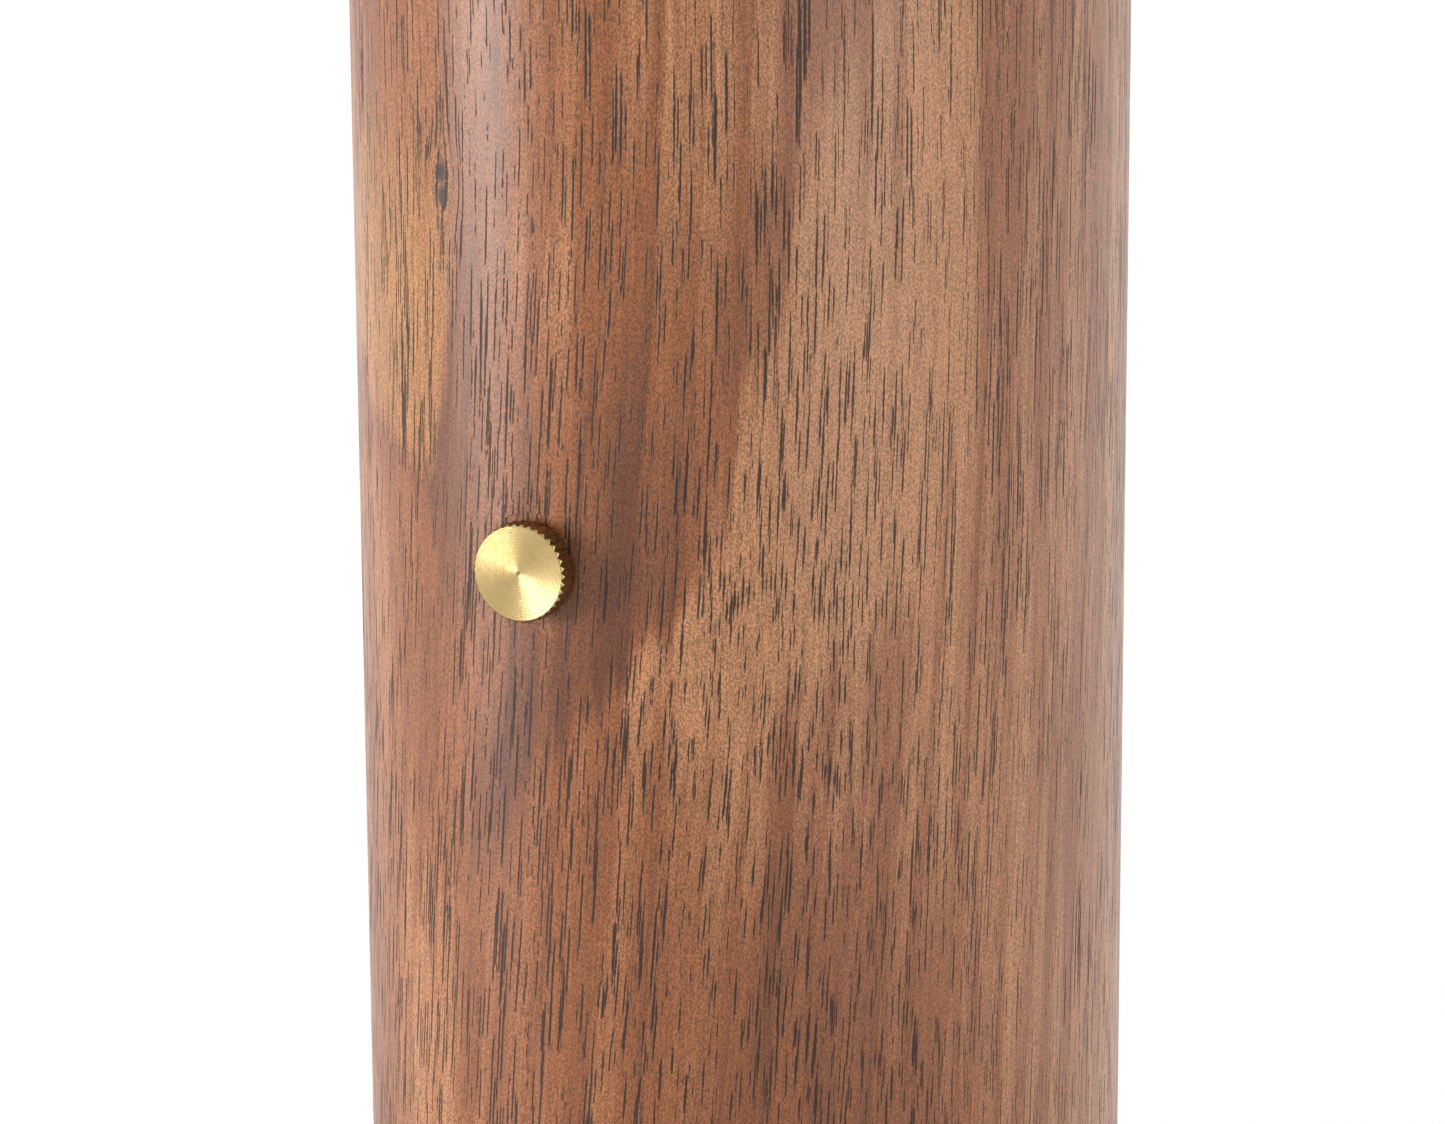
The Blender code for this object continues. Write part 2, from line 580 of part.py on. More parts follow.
def spring():
    """The opening spring as one tube along a helix, and the two cups that its ends press on."""
    axis_at = (0.0, 0.0, CLAMP_Z)
    cup_high = POCKET_BOTTOM_Y - FIT
    cup_low = cup_high - CUP_THICKNESS
    tube("spring_cup_rear", CLAMP_RADIUS + FIT + FIT, CUP_RADIUS, cup_low, cup_high, "Y", axis_at, STEEL)
    tube("spring_cup_front", CLAMP_JAW_HOLE, CUP_RADIUS, -cup_high, -cup_low, "Y", axis_at, STEEL)
    reach = cup_low - FIT - SPRING_WIRE_RADIUS
    count = SPRING_CURLS * SPRING_POINTS_A_CURL
    turn = np.linspace(0.0, 2.0 * math.pi * SPRING_CURLS, count + 1)
    y = np.linspace(-reach, reach, count + 1)
    helix = np.stack([SPRING_COIL_RADIUS * np.cos(turn), y, CLAMP_Z + SPRING_COIL_RADIUS * np.sin(turn)], axis=1)
    lead = 2.0 * SPRING_WIRE_RADIUS
    first = helix[0] - lead * np.array([-math.sin(turn[0]), 0.0, math.cos(turn[0])])
    last = helix[-1] + lead * np.array([-math.sin(turn[-1]), 0.0, math.cos(turn[-1])])
    path = np.vstack([first, helix, last])
    between = np.linalg.norm(path[:, None] - path[None, :], axis=2)
    apart = np.abs(np.subtract.outer(np.arange(len(path)), np.arange(len(path))))
    least = between[apart > SPRING_POINTS_A_CURL // 2].min() - 2.0 * SPRING_WIRE_RADIUS
    print(f"jaw_spring: least gap to itself {least / MM:.2f} mm over {SPRING_CURLS} curls")
    curve = bpy.data.curves.new("jaw_spring", "CURVE")
    curve.dimensions = "3D"
    curve.bevel_depth = SPRING_WIRE_RADIUS
    curve.bevel_resolution = 1
    curve.use_fill_caps = True
    line = curve.splines.new("POLY")
    line.points.add(len(path) - 1)
    line.points.foreach_set("co", np.column_stack([path, np.ones(len(path))]).ravel())
    coil = bpy.data.objects.new("jaw_spring", curve)
    bpy.context.scene.collection.objects.link(coil)
    dress(coil, STEEL)


def lips():
    """The leather facings of the two jaws."""
    near = MOUTH_HALF_GAP
    far = MOUTH_HALF_GAP + LIP_THICKNESS
    pin = (0.0, PIN_Y, PIN_Z)
    for name, side, pivot_at in (("rear_lip", 1.0, (0.0, 0.0, 0.0)), ("front_lip", -1.0, pin)):
        low, high = sorted((side * near, side * far))
        ring = [(-LIP_HALF_WIDTH, low), (LIP_HALF_WIDTH, low), (LIP_HALF_WIDTH, high), (-LIP_HALF_WIDTH, high)]
        rings = [[(x, y, z) for x, y in ring] for z in (LIP_BOTTOM_Z, TOP_Z)]
        dress(solid(name, *loft(rings), pivot_at), LEATHER)


clear_scene()
base()
pivot()
pillar()
thumbscrew()
hinge()
front_jaw()
clamp()
spring()
lips()
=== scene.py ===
# %% [markdown]
# # A walnut stitching pony
# A leatherworker's third hand: an oval walnut pillar turns on a base board and splits at the top into two
# jaws that hold two layers of leather edge up while they are sewn. The photograph stands very close to the
# pillar and shows its figured walnut and one small knurled brass screw. The solids come from the packed
# frame. This lesson puts a fine skin over each of them and works out the finishes.

# %% Load the frame
import math

import bpy
import numpy as np
from mathutils import Matrix, Vector


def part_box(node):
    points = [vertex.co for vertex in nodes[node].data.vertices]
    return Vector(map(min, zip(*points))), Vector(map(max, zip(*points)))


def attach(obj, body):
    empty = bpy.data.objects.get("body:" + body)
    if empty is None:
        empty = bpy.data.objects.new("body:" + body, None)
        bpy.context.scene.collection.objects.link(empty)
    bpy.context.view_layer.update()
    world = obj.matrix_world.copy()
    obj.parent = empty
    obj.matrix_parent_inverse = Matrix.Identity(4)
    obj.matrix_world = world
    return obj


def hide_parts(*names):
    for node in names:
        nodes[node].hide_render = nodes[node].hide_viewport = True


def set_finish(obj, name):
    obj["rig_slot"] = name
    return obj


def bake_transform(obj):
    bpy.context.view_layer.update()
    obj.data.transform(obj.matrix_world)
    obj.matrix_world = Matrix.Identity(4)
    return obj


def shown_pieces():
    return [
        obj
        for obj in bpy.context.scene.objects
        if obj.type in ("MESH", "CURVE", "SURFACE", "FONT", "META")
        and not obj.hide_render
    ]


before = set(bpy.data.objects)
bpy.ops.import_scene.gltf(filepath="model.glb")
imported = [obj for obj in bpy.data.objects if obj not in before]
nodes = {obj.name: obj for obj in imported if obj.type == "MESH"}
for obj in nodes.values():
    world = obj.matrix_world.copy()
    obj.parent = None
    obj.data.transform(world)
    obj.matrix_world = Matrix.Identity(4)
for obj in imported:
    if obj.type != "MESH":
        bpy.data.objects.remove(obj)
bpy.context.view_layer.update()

# %% [markdown]
# ## Sizes from the frame
# Every place is read from the solids, so the skins fit them without adjusting. Only what a box can't tell,
# such as how the jaws taper, is written down again as a named value.

# %% Places and sizes
MM = 0.001
pillar_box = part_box("pillar")
jaw_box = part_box("front_jaw")
lip_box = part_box("rear_lip")
thumb_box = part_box("thumbscrew")
HALF_WIDTH = pillar_box[1].x
HALF_DEPTH = pillar_box[1].y
FOOT_Z = pillar_box[0].z
TOP_Z = pillar_box[1].z
JAW_FOOT_Z = jaw_box[0].z
JAW_FOOT_GAP = 3.0 * MM
SHOULDER_Z = JAW_FOOT_Z - JAW_FOOT_GAP
SEAT_GAP = 0.3 * MM
LAND_HALF_GAP = lip_box[1].y + SEAT_GAP
TIP_HALF_DEPTH = 16.0 * MM
TAPER_POWER = 1.6
OVAL_POWER = 2.0
TIP_POWER = 5.0
THROAT_HALF_GAP = 12.0 * MM
THROAT_TOP_Z = 342.0 * MM
LAND_BOTTOM_Z = 376.0 * MM
THUMB_Z = (thumb_box[0].z + thumb_box[1].z) / 2.0
THUMB_RADIUS = (thumb_box[1].x - thumb_box[0].x) / 2.0
THUMB_FACE_Y = thumb_box[0].y
print(f"oval {2 * HALF_WIDTH / MM:.1f} by {2 * HALF_DEPTH / MM:.1f} mm, shoulder at {SHOULDER_Z / MM:.1f} mm")

# %% [markdown]
# ## Putting a grid into a mesh
# A surface here is an array of points with two parameters: the row runs along the piece and the column runs
# round it. Neighbouring points make a quad, so the faces follow from the array's shape alone and no loop
# over vertices is needed. The two ends are closed with one flat face each.

# %% Grid helpers
def quads(rows, columns):
    """Corners of all quads of a grid closed round its columns: (r, c), (r, c+1), (r+1, c+1), (r+1, c)."""
    here = np.arange(rows * columns).reshape(rows, columns)
    right = np.roll(here, -1, axis=1)
    return np.stack([here[:-1], right[:-1], right[1:], here[1:]], axis=-1).reshape(-1, 4)


def put(name, points, faces, caps=()):
    """A smooth mesh object at the origin from points, an array of quads and a few larger end faces."""
    sizes = np.concatenate([np.full(len(faces), 4), [len(cap) for cap in caps]]).astype(np.int32)
    corners = np.concatenate([faces.ravel(), *caps]).astype(np.int32)
    mesh = bpy.data.meshes.new(name)
    mesh.vertices.add(len(points))
    mesh.vertices.foreach_set("co", np.ascontiguousarray(points, np.float32).ravel())
    mesh.loops.add(len(corners))
    mesh.loops.foreach_set("vertex_index", corners)
    mesh.polygons.add(len(sizes))
    mesh.polygons.foreach_set("loop_start", np.cumsum(sizes, dtype=np.int32) - sizes)
    mesh.update(calc_edges=True)
    mesh.validate()
    mesh.polygons.foreach_set("use_smooth", np.ones(len(mesh.polygons), bool))
    obj = bpy.data.objects.new(name, mesh)
    bpy.context.scene.collection.objects.link(obj)
    return obj


def skin(name, grid):
    """A closed tube through a grid (rows, columns, 3), with a flat face over each end."""
    rows, columns = grid.shape[:2]
    last = (rows - 1) * columns
    caps = [np.arange(columns)[::-1], np.arange(last, last + columns)]
    return put(name, grid.reshape(-1, 3), quads(rows, columns), caps)


SHARP_ANGLE = math.radians(35.0)


def crisp(obj):
    """Faces that meet at more than the sharp angle keep a hard edge."""
    obj.data.set_sharp_from_angle(angle=SHARP_ANGLE)
    return obj


def stands_for(obj, body, slot, *cad):
    """The piece rides on a body, takes a slot's finish and hides the solids that it stands for."""
    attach(obj, body)
    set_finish(obj, slot)
    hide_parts(*cad)
    print(f"{obj.name}: {len(obj.data.polygons)} faces, stands for {', '.join(cad)}")
    return obj


# %% [markdown]
# ## Turned pieces and cutters
# Knobs, caps, screws and drilled holes are all a profile carried round an axis. The profile is a list of
# radius and height, and the axis is a letter.

# %% Turning helpers
AXES = {
    "X": np.array([[0.0, 0.0, 1.0], [0.0, 1.0, 0.0], [-1.0, 0.0, 0.0]]),
    "-X": np.array([[0.0, 0.0, -1.0], [0.0, 1.0, 0.0], [1.0, 0.0, 0.0]]),
    "Y": np.array([[1.0, 0.0, 0.0], [0.0, 0.0, 1.0], [0.0, -1.0, 0.0]]),
    "-Y": np.array([[1.0, 0.0, 0.0], [0.0, 0.0, -1.0], [0.0, 1.0, 0.0]]),
    "Z": np.eye(3),
}


def placed(grid, axis, at):
    """Points made about +Z, carried to another axis and place: p' = M p + at."""
    return grid @ AXES[axis].T + np.asarray(at)


def turn(radius, height, angle):
    """Grid of a turned surface: x = r cos a, y = r sin a, z = h, with r and h given per row or per point."""
    radius, height, angle = np.broadcast_arrays(radius, height, angle)
    return np.stack([radius * np.cos(angle), radius * np.sin(angle), height], axis=-1)


def full_circle(count):
    """Angles of a closed ring, as one row."""
    return np.linspace(0.0, 2.0 * math.pi, count, endpoint=False)[None, :]


DRILL_SEGMENTS = 96


def drill(radius, low, high, axis, at):
    """A round cutter between two heights along an axis."""
    grid = turn(np.array([[radius], [radius]]), np.array([[low], [high]]), full_circle(DRILL_SEGMENTS))
    return skin("cutter", placed(grid, axis, at))


def box_cutter(low, high):
    """A box between two corners, as a square tube from its lower to its upper face."""
    x = np.array([low[0], high[0], high[0], low[0]])
    y = np.array([low[1], low[1], high[1], high[1]])
    grid = np.stack([np.stack([x, y, np.full(4, z)], axis=-1) for z in (low[2], high[2])])
    return skin("cutter", grid)


def bored(obj, cutters):
    """Takes each cutter out of the piece, keeps the result as plain mesh and removes the cutter."""
    bpy.context.view_layer.objects.active = obj
    for number, cutter in enumerate(cutters):
        step = obj.modifiers.new(f"bore {number}", "BOOLEAN")
        step.operation = "DIFFERENCE"
        step.solver = "MANIFOLD"
        step.object = cutter
        bpy.ops.object.modifier_apply(modifier=step.name)
        bpy.data.objects.remove(cutter)
    return crisp(obj)


# %% [markdown]
# ## The outline of pillar and jaws
# The pillar is an ellipse. Above the shoulder each jaw keeps one side of it, and the outline changes slowly
# from an ellipse to a squarer curve, so that the lips are nearly as thick at their ends as in the middle. A
# superellipse does both: its power is 2 in the pillar and 5 at the tip. The sharp corner where the outline
# meets the flat inner face is eased with a short quadratic curve.

# %% Outline functions
ARC_COLUMNS = 112
EASE_COLUMNS = 7
LINE_COLUMNS = 28
ARRIS_EASE = 2.2 * MM


def rise(z):
    """Share of the way from the shoulder (0) to the top (1)."""
    return np.clip((z - SHOULDER_Z) / (TOP_Z - SHOULDER_Z), 0.0, 1.0)


def half_depth(z):
    """Outer half depth: D - (D - tip) rise^p."""
    return HALF_DEPTH - (HALF_DEPTH - TIP_HALF_DEPTH) * rise(z) ** TAPER_POWER


def half_gap(z):
    """Inner face's distance from the middle: the throat's, then sloping to the land under the lip."""
    return np.interp(z, [THROAT_TOP_Z, LAND_BOTTOM_Z], [THROAT_HALF_GAP, LAND_HALF_GAP])


def power(z):
    """The superellipse's power at a height."""
    return OVAL_POWER + (TIP_POWER - OVAL_POWER) * rise(z)


def oval(angle, z):
    """Plan of the outline: x = W sgn(sin a)|sin a|^(2/n), y = D sgn(cos a)|cos a|^(2/n)."""
    bend = 2.0 / power(z)
    x = HALF_WIDTH * np.sign(np.sin(angle)) * np.abs(np.sin(angle)) ** bend
    y = half_depth(z) * np.sign(np.cos(angle)) * np.abs(np.cos(angle)) ** bend
    return np.stack(np.broadcast_arrays(x, y), axis=-1)


def arris_angle(z):
    """Angle at which the outline meets the inner face: cos a = (gap / depth)^(n/2)."""
    return np.arccos((half_gap(z) / half_depth(z)) ** (power(z) / 2.0))


def ease_angle(z):
    """The angle taken up by the eased corner: its length over the outline's speed at the arris."""
    limit = arris_angle(z)
    step = 1e-3
    speed = np.linalg.norm(oval(limit, z) - oval(limit - step, z), axis=-1) / step
    return ARRIS_EASE / speed


def bezier(first, middle, last, share):
    """Quadratic curve: (1-t)^2 A + 2 t (1-t) B + t^2 C."""
    t = share[None, :, None]
    return (1 - t) ** 2 * first[:, None] + 2 * t * (1 - t) * middle[:, None] + t ** 2 * last[:, None]


def jaw_plan(z):
    """Closed plan of the rear jaw at each height: outer arc, eased arris, inner face, eased arris."""
    limit = arris_angle(z)
    end = limit - ease_angle(z)
    share = np.linspace(-1.0, 1.0, ARC_COLUMNS)[None, :]
    spread = np.sign(share) * np.abs(share) ** (power(z)[:, None] / 2.0)
    arc = oval(end[:, None] * spread, z[:, None])
    corner = np.stack([oval(limit, z)[:, 0], half_gap(z)], axis=-1)
    inset = corner - np.array([ARRIS_EASE, 0.0])
    flip = np.array([-1.0, 1.0])
    inner = np.linspace(0.0, 1.0, EASE_COLUMNS + 2)[1:-1]
    ease = bezier(arc[:, -1], corner, inset, inner)
    across = np.linspace(1.0, -1.0, LINE_COLUMNS)[None, :, None]
    depth = np.repeat(inset[:, None, 1:], LINE_COLUMNS, axis=1)
    line = np.concatenate([inset[:, None, :1] * across, depth], axis=-1)
    return np.concatenate([arc, ease, line, (ease * flip)[:, ::-1]], axis=1)


def with_height(plan, z):
    """Adds the height to a plan (rows, columns, 2)."""
    z = np.broadcast_to(np.asarray(z), plan.shape[:2])
    return np.concatenate([plan, z[..., None]], axis=-1)


# %% [markdown]
# ## Rounded ends
# Sawn ends of hardwood are eased with a small radius. The last rings of each loft follow a quarter circle:
# the ring rises by r sin(a) while it is drawn in by r (1 - cos(a)).

# %% Rounding helpers
ROUND_ROWS = 8


def rounded_end(plan, z, radius, upward):
    """Rings over a rounded end of a plan (columns, 2), from the wall to the flat."""
    angle = np.linspace(0.0, math.pi / 2.0, ROUND_ROWS + 1)[1:, None]
    middle = (plan.max(axis=0) + plan.min(axis=0)) / 2.0
    half = (plan.max(axis=0) - plan.min(axis=0)) / 2.0
    draw = 1.0 - radius * (1.0 - np.cos(angle))[:, :, None] / half
    rings = middle + (plan[None] - middle) * draw
    lift = radius * np.sin(angle) * (1.0 if upward else -1.0)
    return with_height(rings, z + lift)


# %% [markdown]
# ## The pillar
# The one piece that the photograph shows. From the foot to the shoulder it is a plain oval; at the shoulder
# the front half stops in a flat step and the rear half goes on up as the fixed jaw. One grid does it all:
# the columns of the front half slide inwards over the step and then climb the jaw's inner face.

# %% Pillar and rear jaw
PILLAR_ROW = 2.0 * MM
FOOT_ROUND = 2.0 * MM
STEP_ROUND = 1.6 * MM
TOP_ROUND = 2.2 * MM
STEP_ROWS = 14
NO_WAY = 1e-7


def pillar_plan():
    """The ellipse, with its columns at the same places round the outline as the jaw's."""
    z = np.array([SHOULDER_Z])
    limit = arris_angle(z)[0]
    ease = ease_angle(z)[0]
    near, far = limit - ease, limit + ease
    rear = np.linspace(-near, near, ARC_COLUMNS)
    corner = np.linspace(near, far, EASE_COLUMNS + 2)[1:-1]
    front = np.linspace(far, 2.0 * math.pi - far, LINE_COLUMNS)
    angles = np.concatenate([rear, corner, front, (2.0 * math.pi - corner)[::-1]])
    return oval(angles, z)


def shoulder_step(outer, inner):
    """Rings that carry the front half from the oval over a rounded edge to the jaw's inner face."""
    way = np.linalg.norm(inner - outer, axis=-1)
    turn_rows = STEP_ROWS // 2
    flat_rows = STEP_ROWS - turn_rows
    quarter = math.pi / 2.0
    bend = np.concatenate([np.linspace(0.0, quarter, turn_rows + 1), np.full(flat_rows, quarter)])
    slide = np.concatenate([np.zeros(turn_rows + 1), np.linspace(0.0, 1.0, flat_rows + 1)[1:]])
    bend, slide = bend[1:, None], slide[1:, None]
    reach = np.minimum(STEP_ROUND, way / 2.0)[None]
    moved = reach * (1.0 - np.cos(bend)) + (way[None] - reach) * slide
    share = np.divide(moved, way[None], out=np.ones_like(moved), where=way[None] > NO_WAY)
    plan = outer[None] + (inner - outer)[None] * share[..., None]
    front = np.clip(way / (2.0 * STEP_ROUND), 0.0, 1.0)[None]
    climb = np.linspace(0.0, 1.0, STEP_ROWS + 1)[1:, None]
    z = SHOULDER_Z - STEP_ROUND * ((1.0 - climb) * (1.0 - front) + (1.0 - np.sin(bend)) * front)
    return with_height(plan, z)


def pillar_grid():
    """All rings of the pillar from the rounded foot to the rounded top of the rear jaw."""
    oval_plan = pillar_plan()
    foot = rounded_end(oval_plan, FOOT_Z + FOOT_ROUND, FOOT_ROUND, False)[::-1]
    wall_z = np.arange(FOOT_Z + FOOT_ROUND, SHOULDER_Z - STEP_ROUND, PILLAR_ROW)
    wall_z = np.append(wall_z[:-1], SHOULDER_Z - STEP_ROUND)
    wall = with_height(np.repeat(oval_plan[None], len(wall_z), axis=0), wall_z[:, None])
    jaw_z = np.linspace(SHOULDER_Z, TOP_Z - TOP_ROUND, int((TOP_Z - SHOULDER_Z) / PILLAR_ROW))
    jaw = jaw_plan(jaw_z)
    step = shoulder_step(oval_plan, jaw[0])
    top = rounded_end(jaw[-1], TOP_Z - TOP_ROUND, TOP_ROUND, True)
    return np.concatenate([foot, wall, step, with_height(jaw[1:], jaw_z[1:, None]), top])[:, ::-1]


pillar = skin("walnut_pillar", pillar_grid())

# %% [markdown]
# ### Bores of the pillar
# The post, the lock screw, the hinge block, the clamping screw and its cross nut all sit in drilled holes.
# Most are out of sight, but the cross nut shows in both flanks and the spring's pocket shows in the throat.
# A shallow flat is spot-faced under the lock screw's head, because a flat head can't sit on a curve; its
# edge shows as a thin arc.

# %% Drill the pillar
pin_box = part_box("hinge_pin")
clamp_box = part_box("clamp_screw")
nut_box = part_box("barrel_nut")
cup_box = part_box("spring_cup_rear")
knuckle_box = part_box("hinge_knuckle")
shoe_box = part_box("thumbscrew_shoe")
insert_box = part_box("thumbscrew_insert")
bush_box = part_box("upper_bush")
PIN_Y = (pin_box[0].y + pin_box[1].y) / 2.0
PIN_Z = (pin_box[0].z + pin_box[1].z) / 2.0
CLAMP_Z = (clamp_box[0].z + clamp_box[1].z) / 2.0
NUT_Y = (nut_box[0].y + nut_box[1].y) / 2.0
KNUCKLE_SHANK = 7.0 * MM
POCKET_RADIUS = 10.5 * MM
SCREW_OVERRUN = 3.0 * MM
SPOT_RADIUS = 5.6 * MM
SPOT_DEPTH = 0.25 * MM


def half_of(box, axis):
    """Half the width of a box along one axis."""
    return (box[1][axis] - box[0][axis]) / 2.0


bored(pillar, [
    drill(half_of(bush_box, 0) + SEAT_GAP, 0.0, bush_box[1].z + SEAT_GAP, "Z", (0, 0, 0)),
    drill(SPOT_RADIUS, -2.0 * HALF_DEPTH, SPOT_DEPTH - HALF_DEPTH, "Y", (0, 0, THUMB_Z)),
    drill(half_of(insert_box, 0) + SEAT_GAP, -2.0 * HALF_DEPTH, insert_box[1].y + SEAT_GAP, "Y",
          (0, 0, THUMB_Z)),
    drill(half_of(shoe_box, 0) + SEAT_GAP, -HALF_DEPTH, 0.0, "Y", (0, 0, THUMB_Z)),
    drill(KNUCKLE_SHANK + SEAT_GAP, knuckle_box[0].z - SEAT_GAP, JAW_FOOT_Z, "Z", (0, PIN_Y, 0)),
    drill(half_of(clamp_box, 0) + 2.0 * SEAT_GAP, 0.0, clamp_box[1].y + SCREW_OVERRUN, "Y", (0, 0, CLAMP_Z)),
    drill(POCKET_RADIUS, 0.0, cup_box[1].y + SEAT_GAP, "Y", (0, 0, CLAMP_Z)),
    drill(half_of(nut_box, 1) + SEAT_GAP, -2.0 * HALF_WIDTH, 2.0 * HALF_WIDTH, "X", (0, NUT_Y, CLAMP_Z)),
])
stands_for(pillar, "column", "walnut_pillar", "pillar")

# %% [markdown]
# ## The moving jaw
# The front jaw is the rear one mirrored, cut off above the shoulder. It is hollowed for the brass hinge
# block, bored for the pin, and has a flat seat milled into its curved face for the clamp washer.

# %% Front jaw
JAW_FOOT_ROUND = 1.4 * MM
washer_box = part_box("clamp_washer")
cap_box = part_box("pin_cap_right")
hinge_bush_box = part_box("hinge_bush_right")
JAW_HOLE = 6.5 * MM
WASHER_SLACK = 0.7 * MM
WASHER_SEAT_RADIUS = 15.0 * MM
MORTISE_SWING = 2.5 * MM


def front_jaw_grid():
    """The rear jaw's rings turned half a turn about the vertical, so that they face -Y."""
    z = np.linspace(JAW_FOOT_Z + JAW_FOOT_ROUND, TOP_Z - TOP_ROUND, int((TOP_Z - JAW_FOOT_Z) / PILLAR_ROW))
    plan = -jaw_plan(z)
    foot = rounded_end(plan[0], z[0], JAW_FOOT_ROUND, False)[::-1]
    top = rounded_end(plan[-1], z[-1], TOP_ROUND, True)
    return np.concatenate([foot, with_height(plan, z[:, None]), top])[:, ::-1]


front_jaw = skin("walnut_front_jaw", front_jaw_grid())
pin_at = (0.0, PIN_Y, PIN_Z)
knuckle_side = half_of(knuckle_box, 0) + SEAT_GAP
knuckle_swing = half_of(knuckle_box, 1) + MORTISE_SWING
cap_seat = cap_box[0].x - SEAT_GAP
far = 2.0 * HALF_WIDTH
bored(front_jaw, [
    box_cutter((-knuckle_side, PIN_Y - knuckle_swing, SHOULDER_Z),
               (knuckle_side, 0.0, PIN_Z + knuckle_swing)),
    drill(half_of(hinge_bush_box, 1) + SEAT_GAP, -far, far, "X", pin_at),
    drill(JAW_HOLE, -HALF_DEPTH, 0.0, "Y", (0, 0, CLAMP_Z)),
    drill(POCKET_RADIUS, -cup_box[1].y - SEAT_GAP, 0.0, "Y", (0, 0, CLAMP_Z)),
    drill(WASHER_SEAT_RADIUS, -2.0 * HALF_DEPTH, washer_box[1].y + WASHER_SLACK, "Y", (0, 0, CLAMP_Z)),
    drill(half_of(cap_box, 1) + SEAT_GAP, -far, -cap_seat, "X", pin_at),
    drill(half_of(cap_box, 1) + SEAT_GAP, cap_seat, far, "X", pin_at),
])
stands_for(front_jaw, "moving_jaw", "walnut_jaw", "front_jaw")

# %% [markdown]
# ## The base board
# A thick walnut board with well rounded corners and a soft edge. In plan it is a rectangle whose corners
# are quarter circles; in section its edge is a quarter circle above and below.

# %% Base board and its leather underside
board_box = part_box("base_board")
pad_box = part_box("base_pad")
BOARD_CORNER = 28.0 * MM
BOARD_ROUND = 5.0 * MM
PAD_ROUND = 0.8 * MM
PLATE_CORNER_COLUMNS = 24
post_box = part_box("pivot_post")


def plate_plan(half_x, half_y, corner):
    """Rounded rectangle: four quarter circles about (+-(X-r), +-(Y-r)), in order round the plate."""
    quarter = np.linspace(0.0, math.pi / 2.0, PLATE_CORNER_COLUMNS)
    angle = np.concatenate([quarter + k * math.pi / 2.0 for k in range(4)])
    side_x = np.repeat([1.0, -1.0, -1.0, 1.0], PLATE_CORNER_COLUMNS)
    side_y = np.repeat([1.0, 1.0, -1.0, -1.0], PLATE_CORNER_COLUMNS)
    x = side_x * (half_x - corner) + corner * np.cos(angle)
    y = side_y * (half_y - corner) + corner * np.sin(angle)
    return np.stack([x, y], axis=-1)


def plate_grid(box, corner, radius):
    """A plate between the heights of a box, with rounded edges above and below."""
    plan = plate_plan(box[1].x, box[1].y, corner)
    low = rounded_end(plan, box[0].z + radius, radius, False)[::-1]
    high = rounded_end(plan, box[1].z - radius, radius, True)
    wall_z = np.array([[box[0].z + radius], [box[1].z - radius]])
    wall = with_height(np.repeat(plan[None], 2, axis=0), wall_z)
    return np.concatenate([low, wall, high])


board = skin("walnut_base_board", plate_grid(board_box, BOARD_CORNER, BOARD_ROUND))
screw_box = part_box("flange_screw_1")
screw_circle = math.hypot((screw_box[0].x + screw_box[1].x) / 2.0, (screw_box[0].y + screw_box[1].y) / 2.0)
SCREW_SHANK = 2.0 * MM
screw_angles = [math.radians(45.0 + 90.0 * k) for k in range(4)]
bored(board, [
    drill(half_of(post_box, 0) + SEAT_GAP, post_box[0].z - SEAT_GAP, TOP_Z, "Z", (0, 0, 0)),
    *[drill(SCREW_SHANK + SEAT_GAP, screw_box[0].z - SEAT_GAP, TOP_Z, "Z",
            (screw_circle * math.cos(a), screw_circle * math.sin(a), 0)) for a in screw_angles],
])
stands_for(board, "stand", "walnut_base", "base_board")
PAD_INSET = board_box[1].x - pad_box[1].x
pad = crisp(skin("leather_base_pad", plate_grid(pad_box, BOARD_CORNER - PAD_INSET, PAD_ROUND)))
stands_for(pad, "stand", "leather_pad", "base_pad")

# %% [markdown]
# ## Knurled brass
# The screw in the photograph has a flat face turned on a lathe, so it carries fine concentric tool marks
# that spread the light into a bow tie. Its rim has straight V teeth that a small chamfer cuts off. All of
# it is geometry: the face is a cosine ripple over the radius, and the rim's radius swings between tip and
# valley with the angle.

# %% Knurled head
TOOTH_POINTS = 8
RIPPLE_POINTS = 5
CHAMFER_ROWS = 4
RIM_ROWS = 6


def tooth(angle, teeth, depth):
    """Depth of the knurl below its tips: a V in the angle, zero at each tip and full at each valley."""
    phase = (angle * teeth / (2.0 * math.pi)) % 1.0
    return depth * (1.0 - np.abs(2.0 * phase - 1.0))


def face_rows(radius, pitch, ripple, dish, dimple):
    """Radius and height over a turned face, from the centre mark out: a shallow dish with a cosine ripple."""
    count = int(radius / pitch * RIPPLE_POINTS)
    r = np.linspace(radius / count, radius, count)
    h = -dish * (1.0 - (r / radius) ** 2) + ripple * (np.cos(2.0 * math.pi * r / pitch) - 1.0)
    h = h - dimple[1] * np.clip(1.0 - r / dimple[0], 0.0, 1.0)
    return r, h


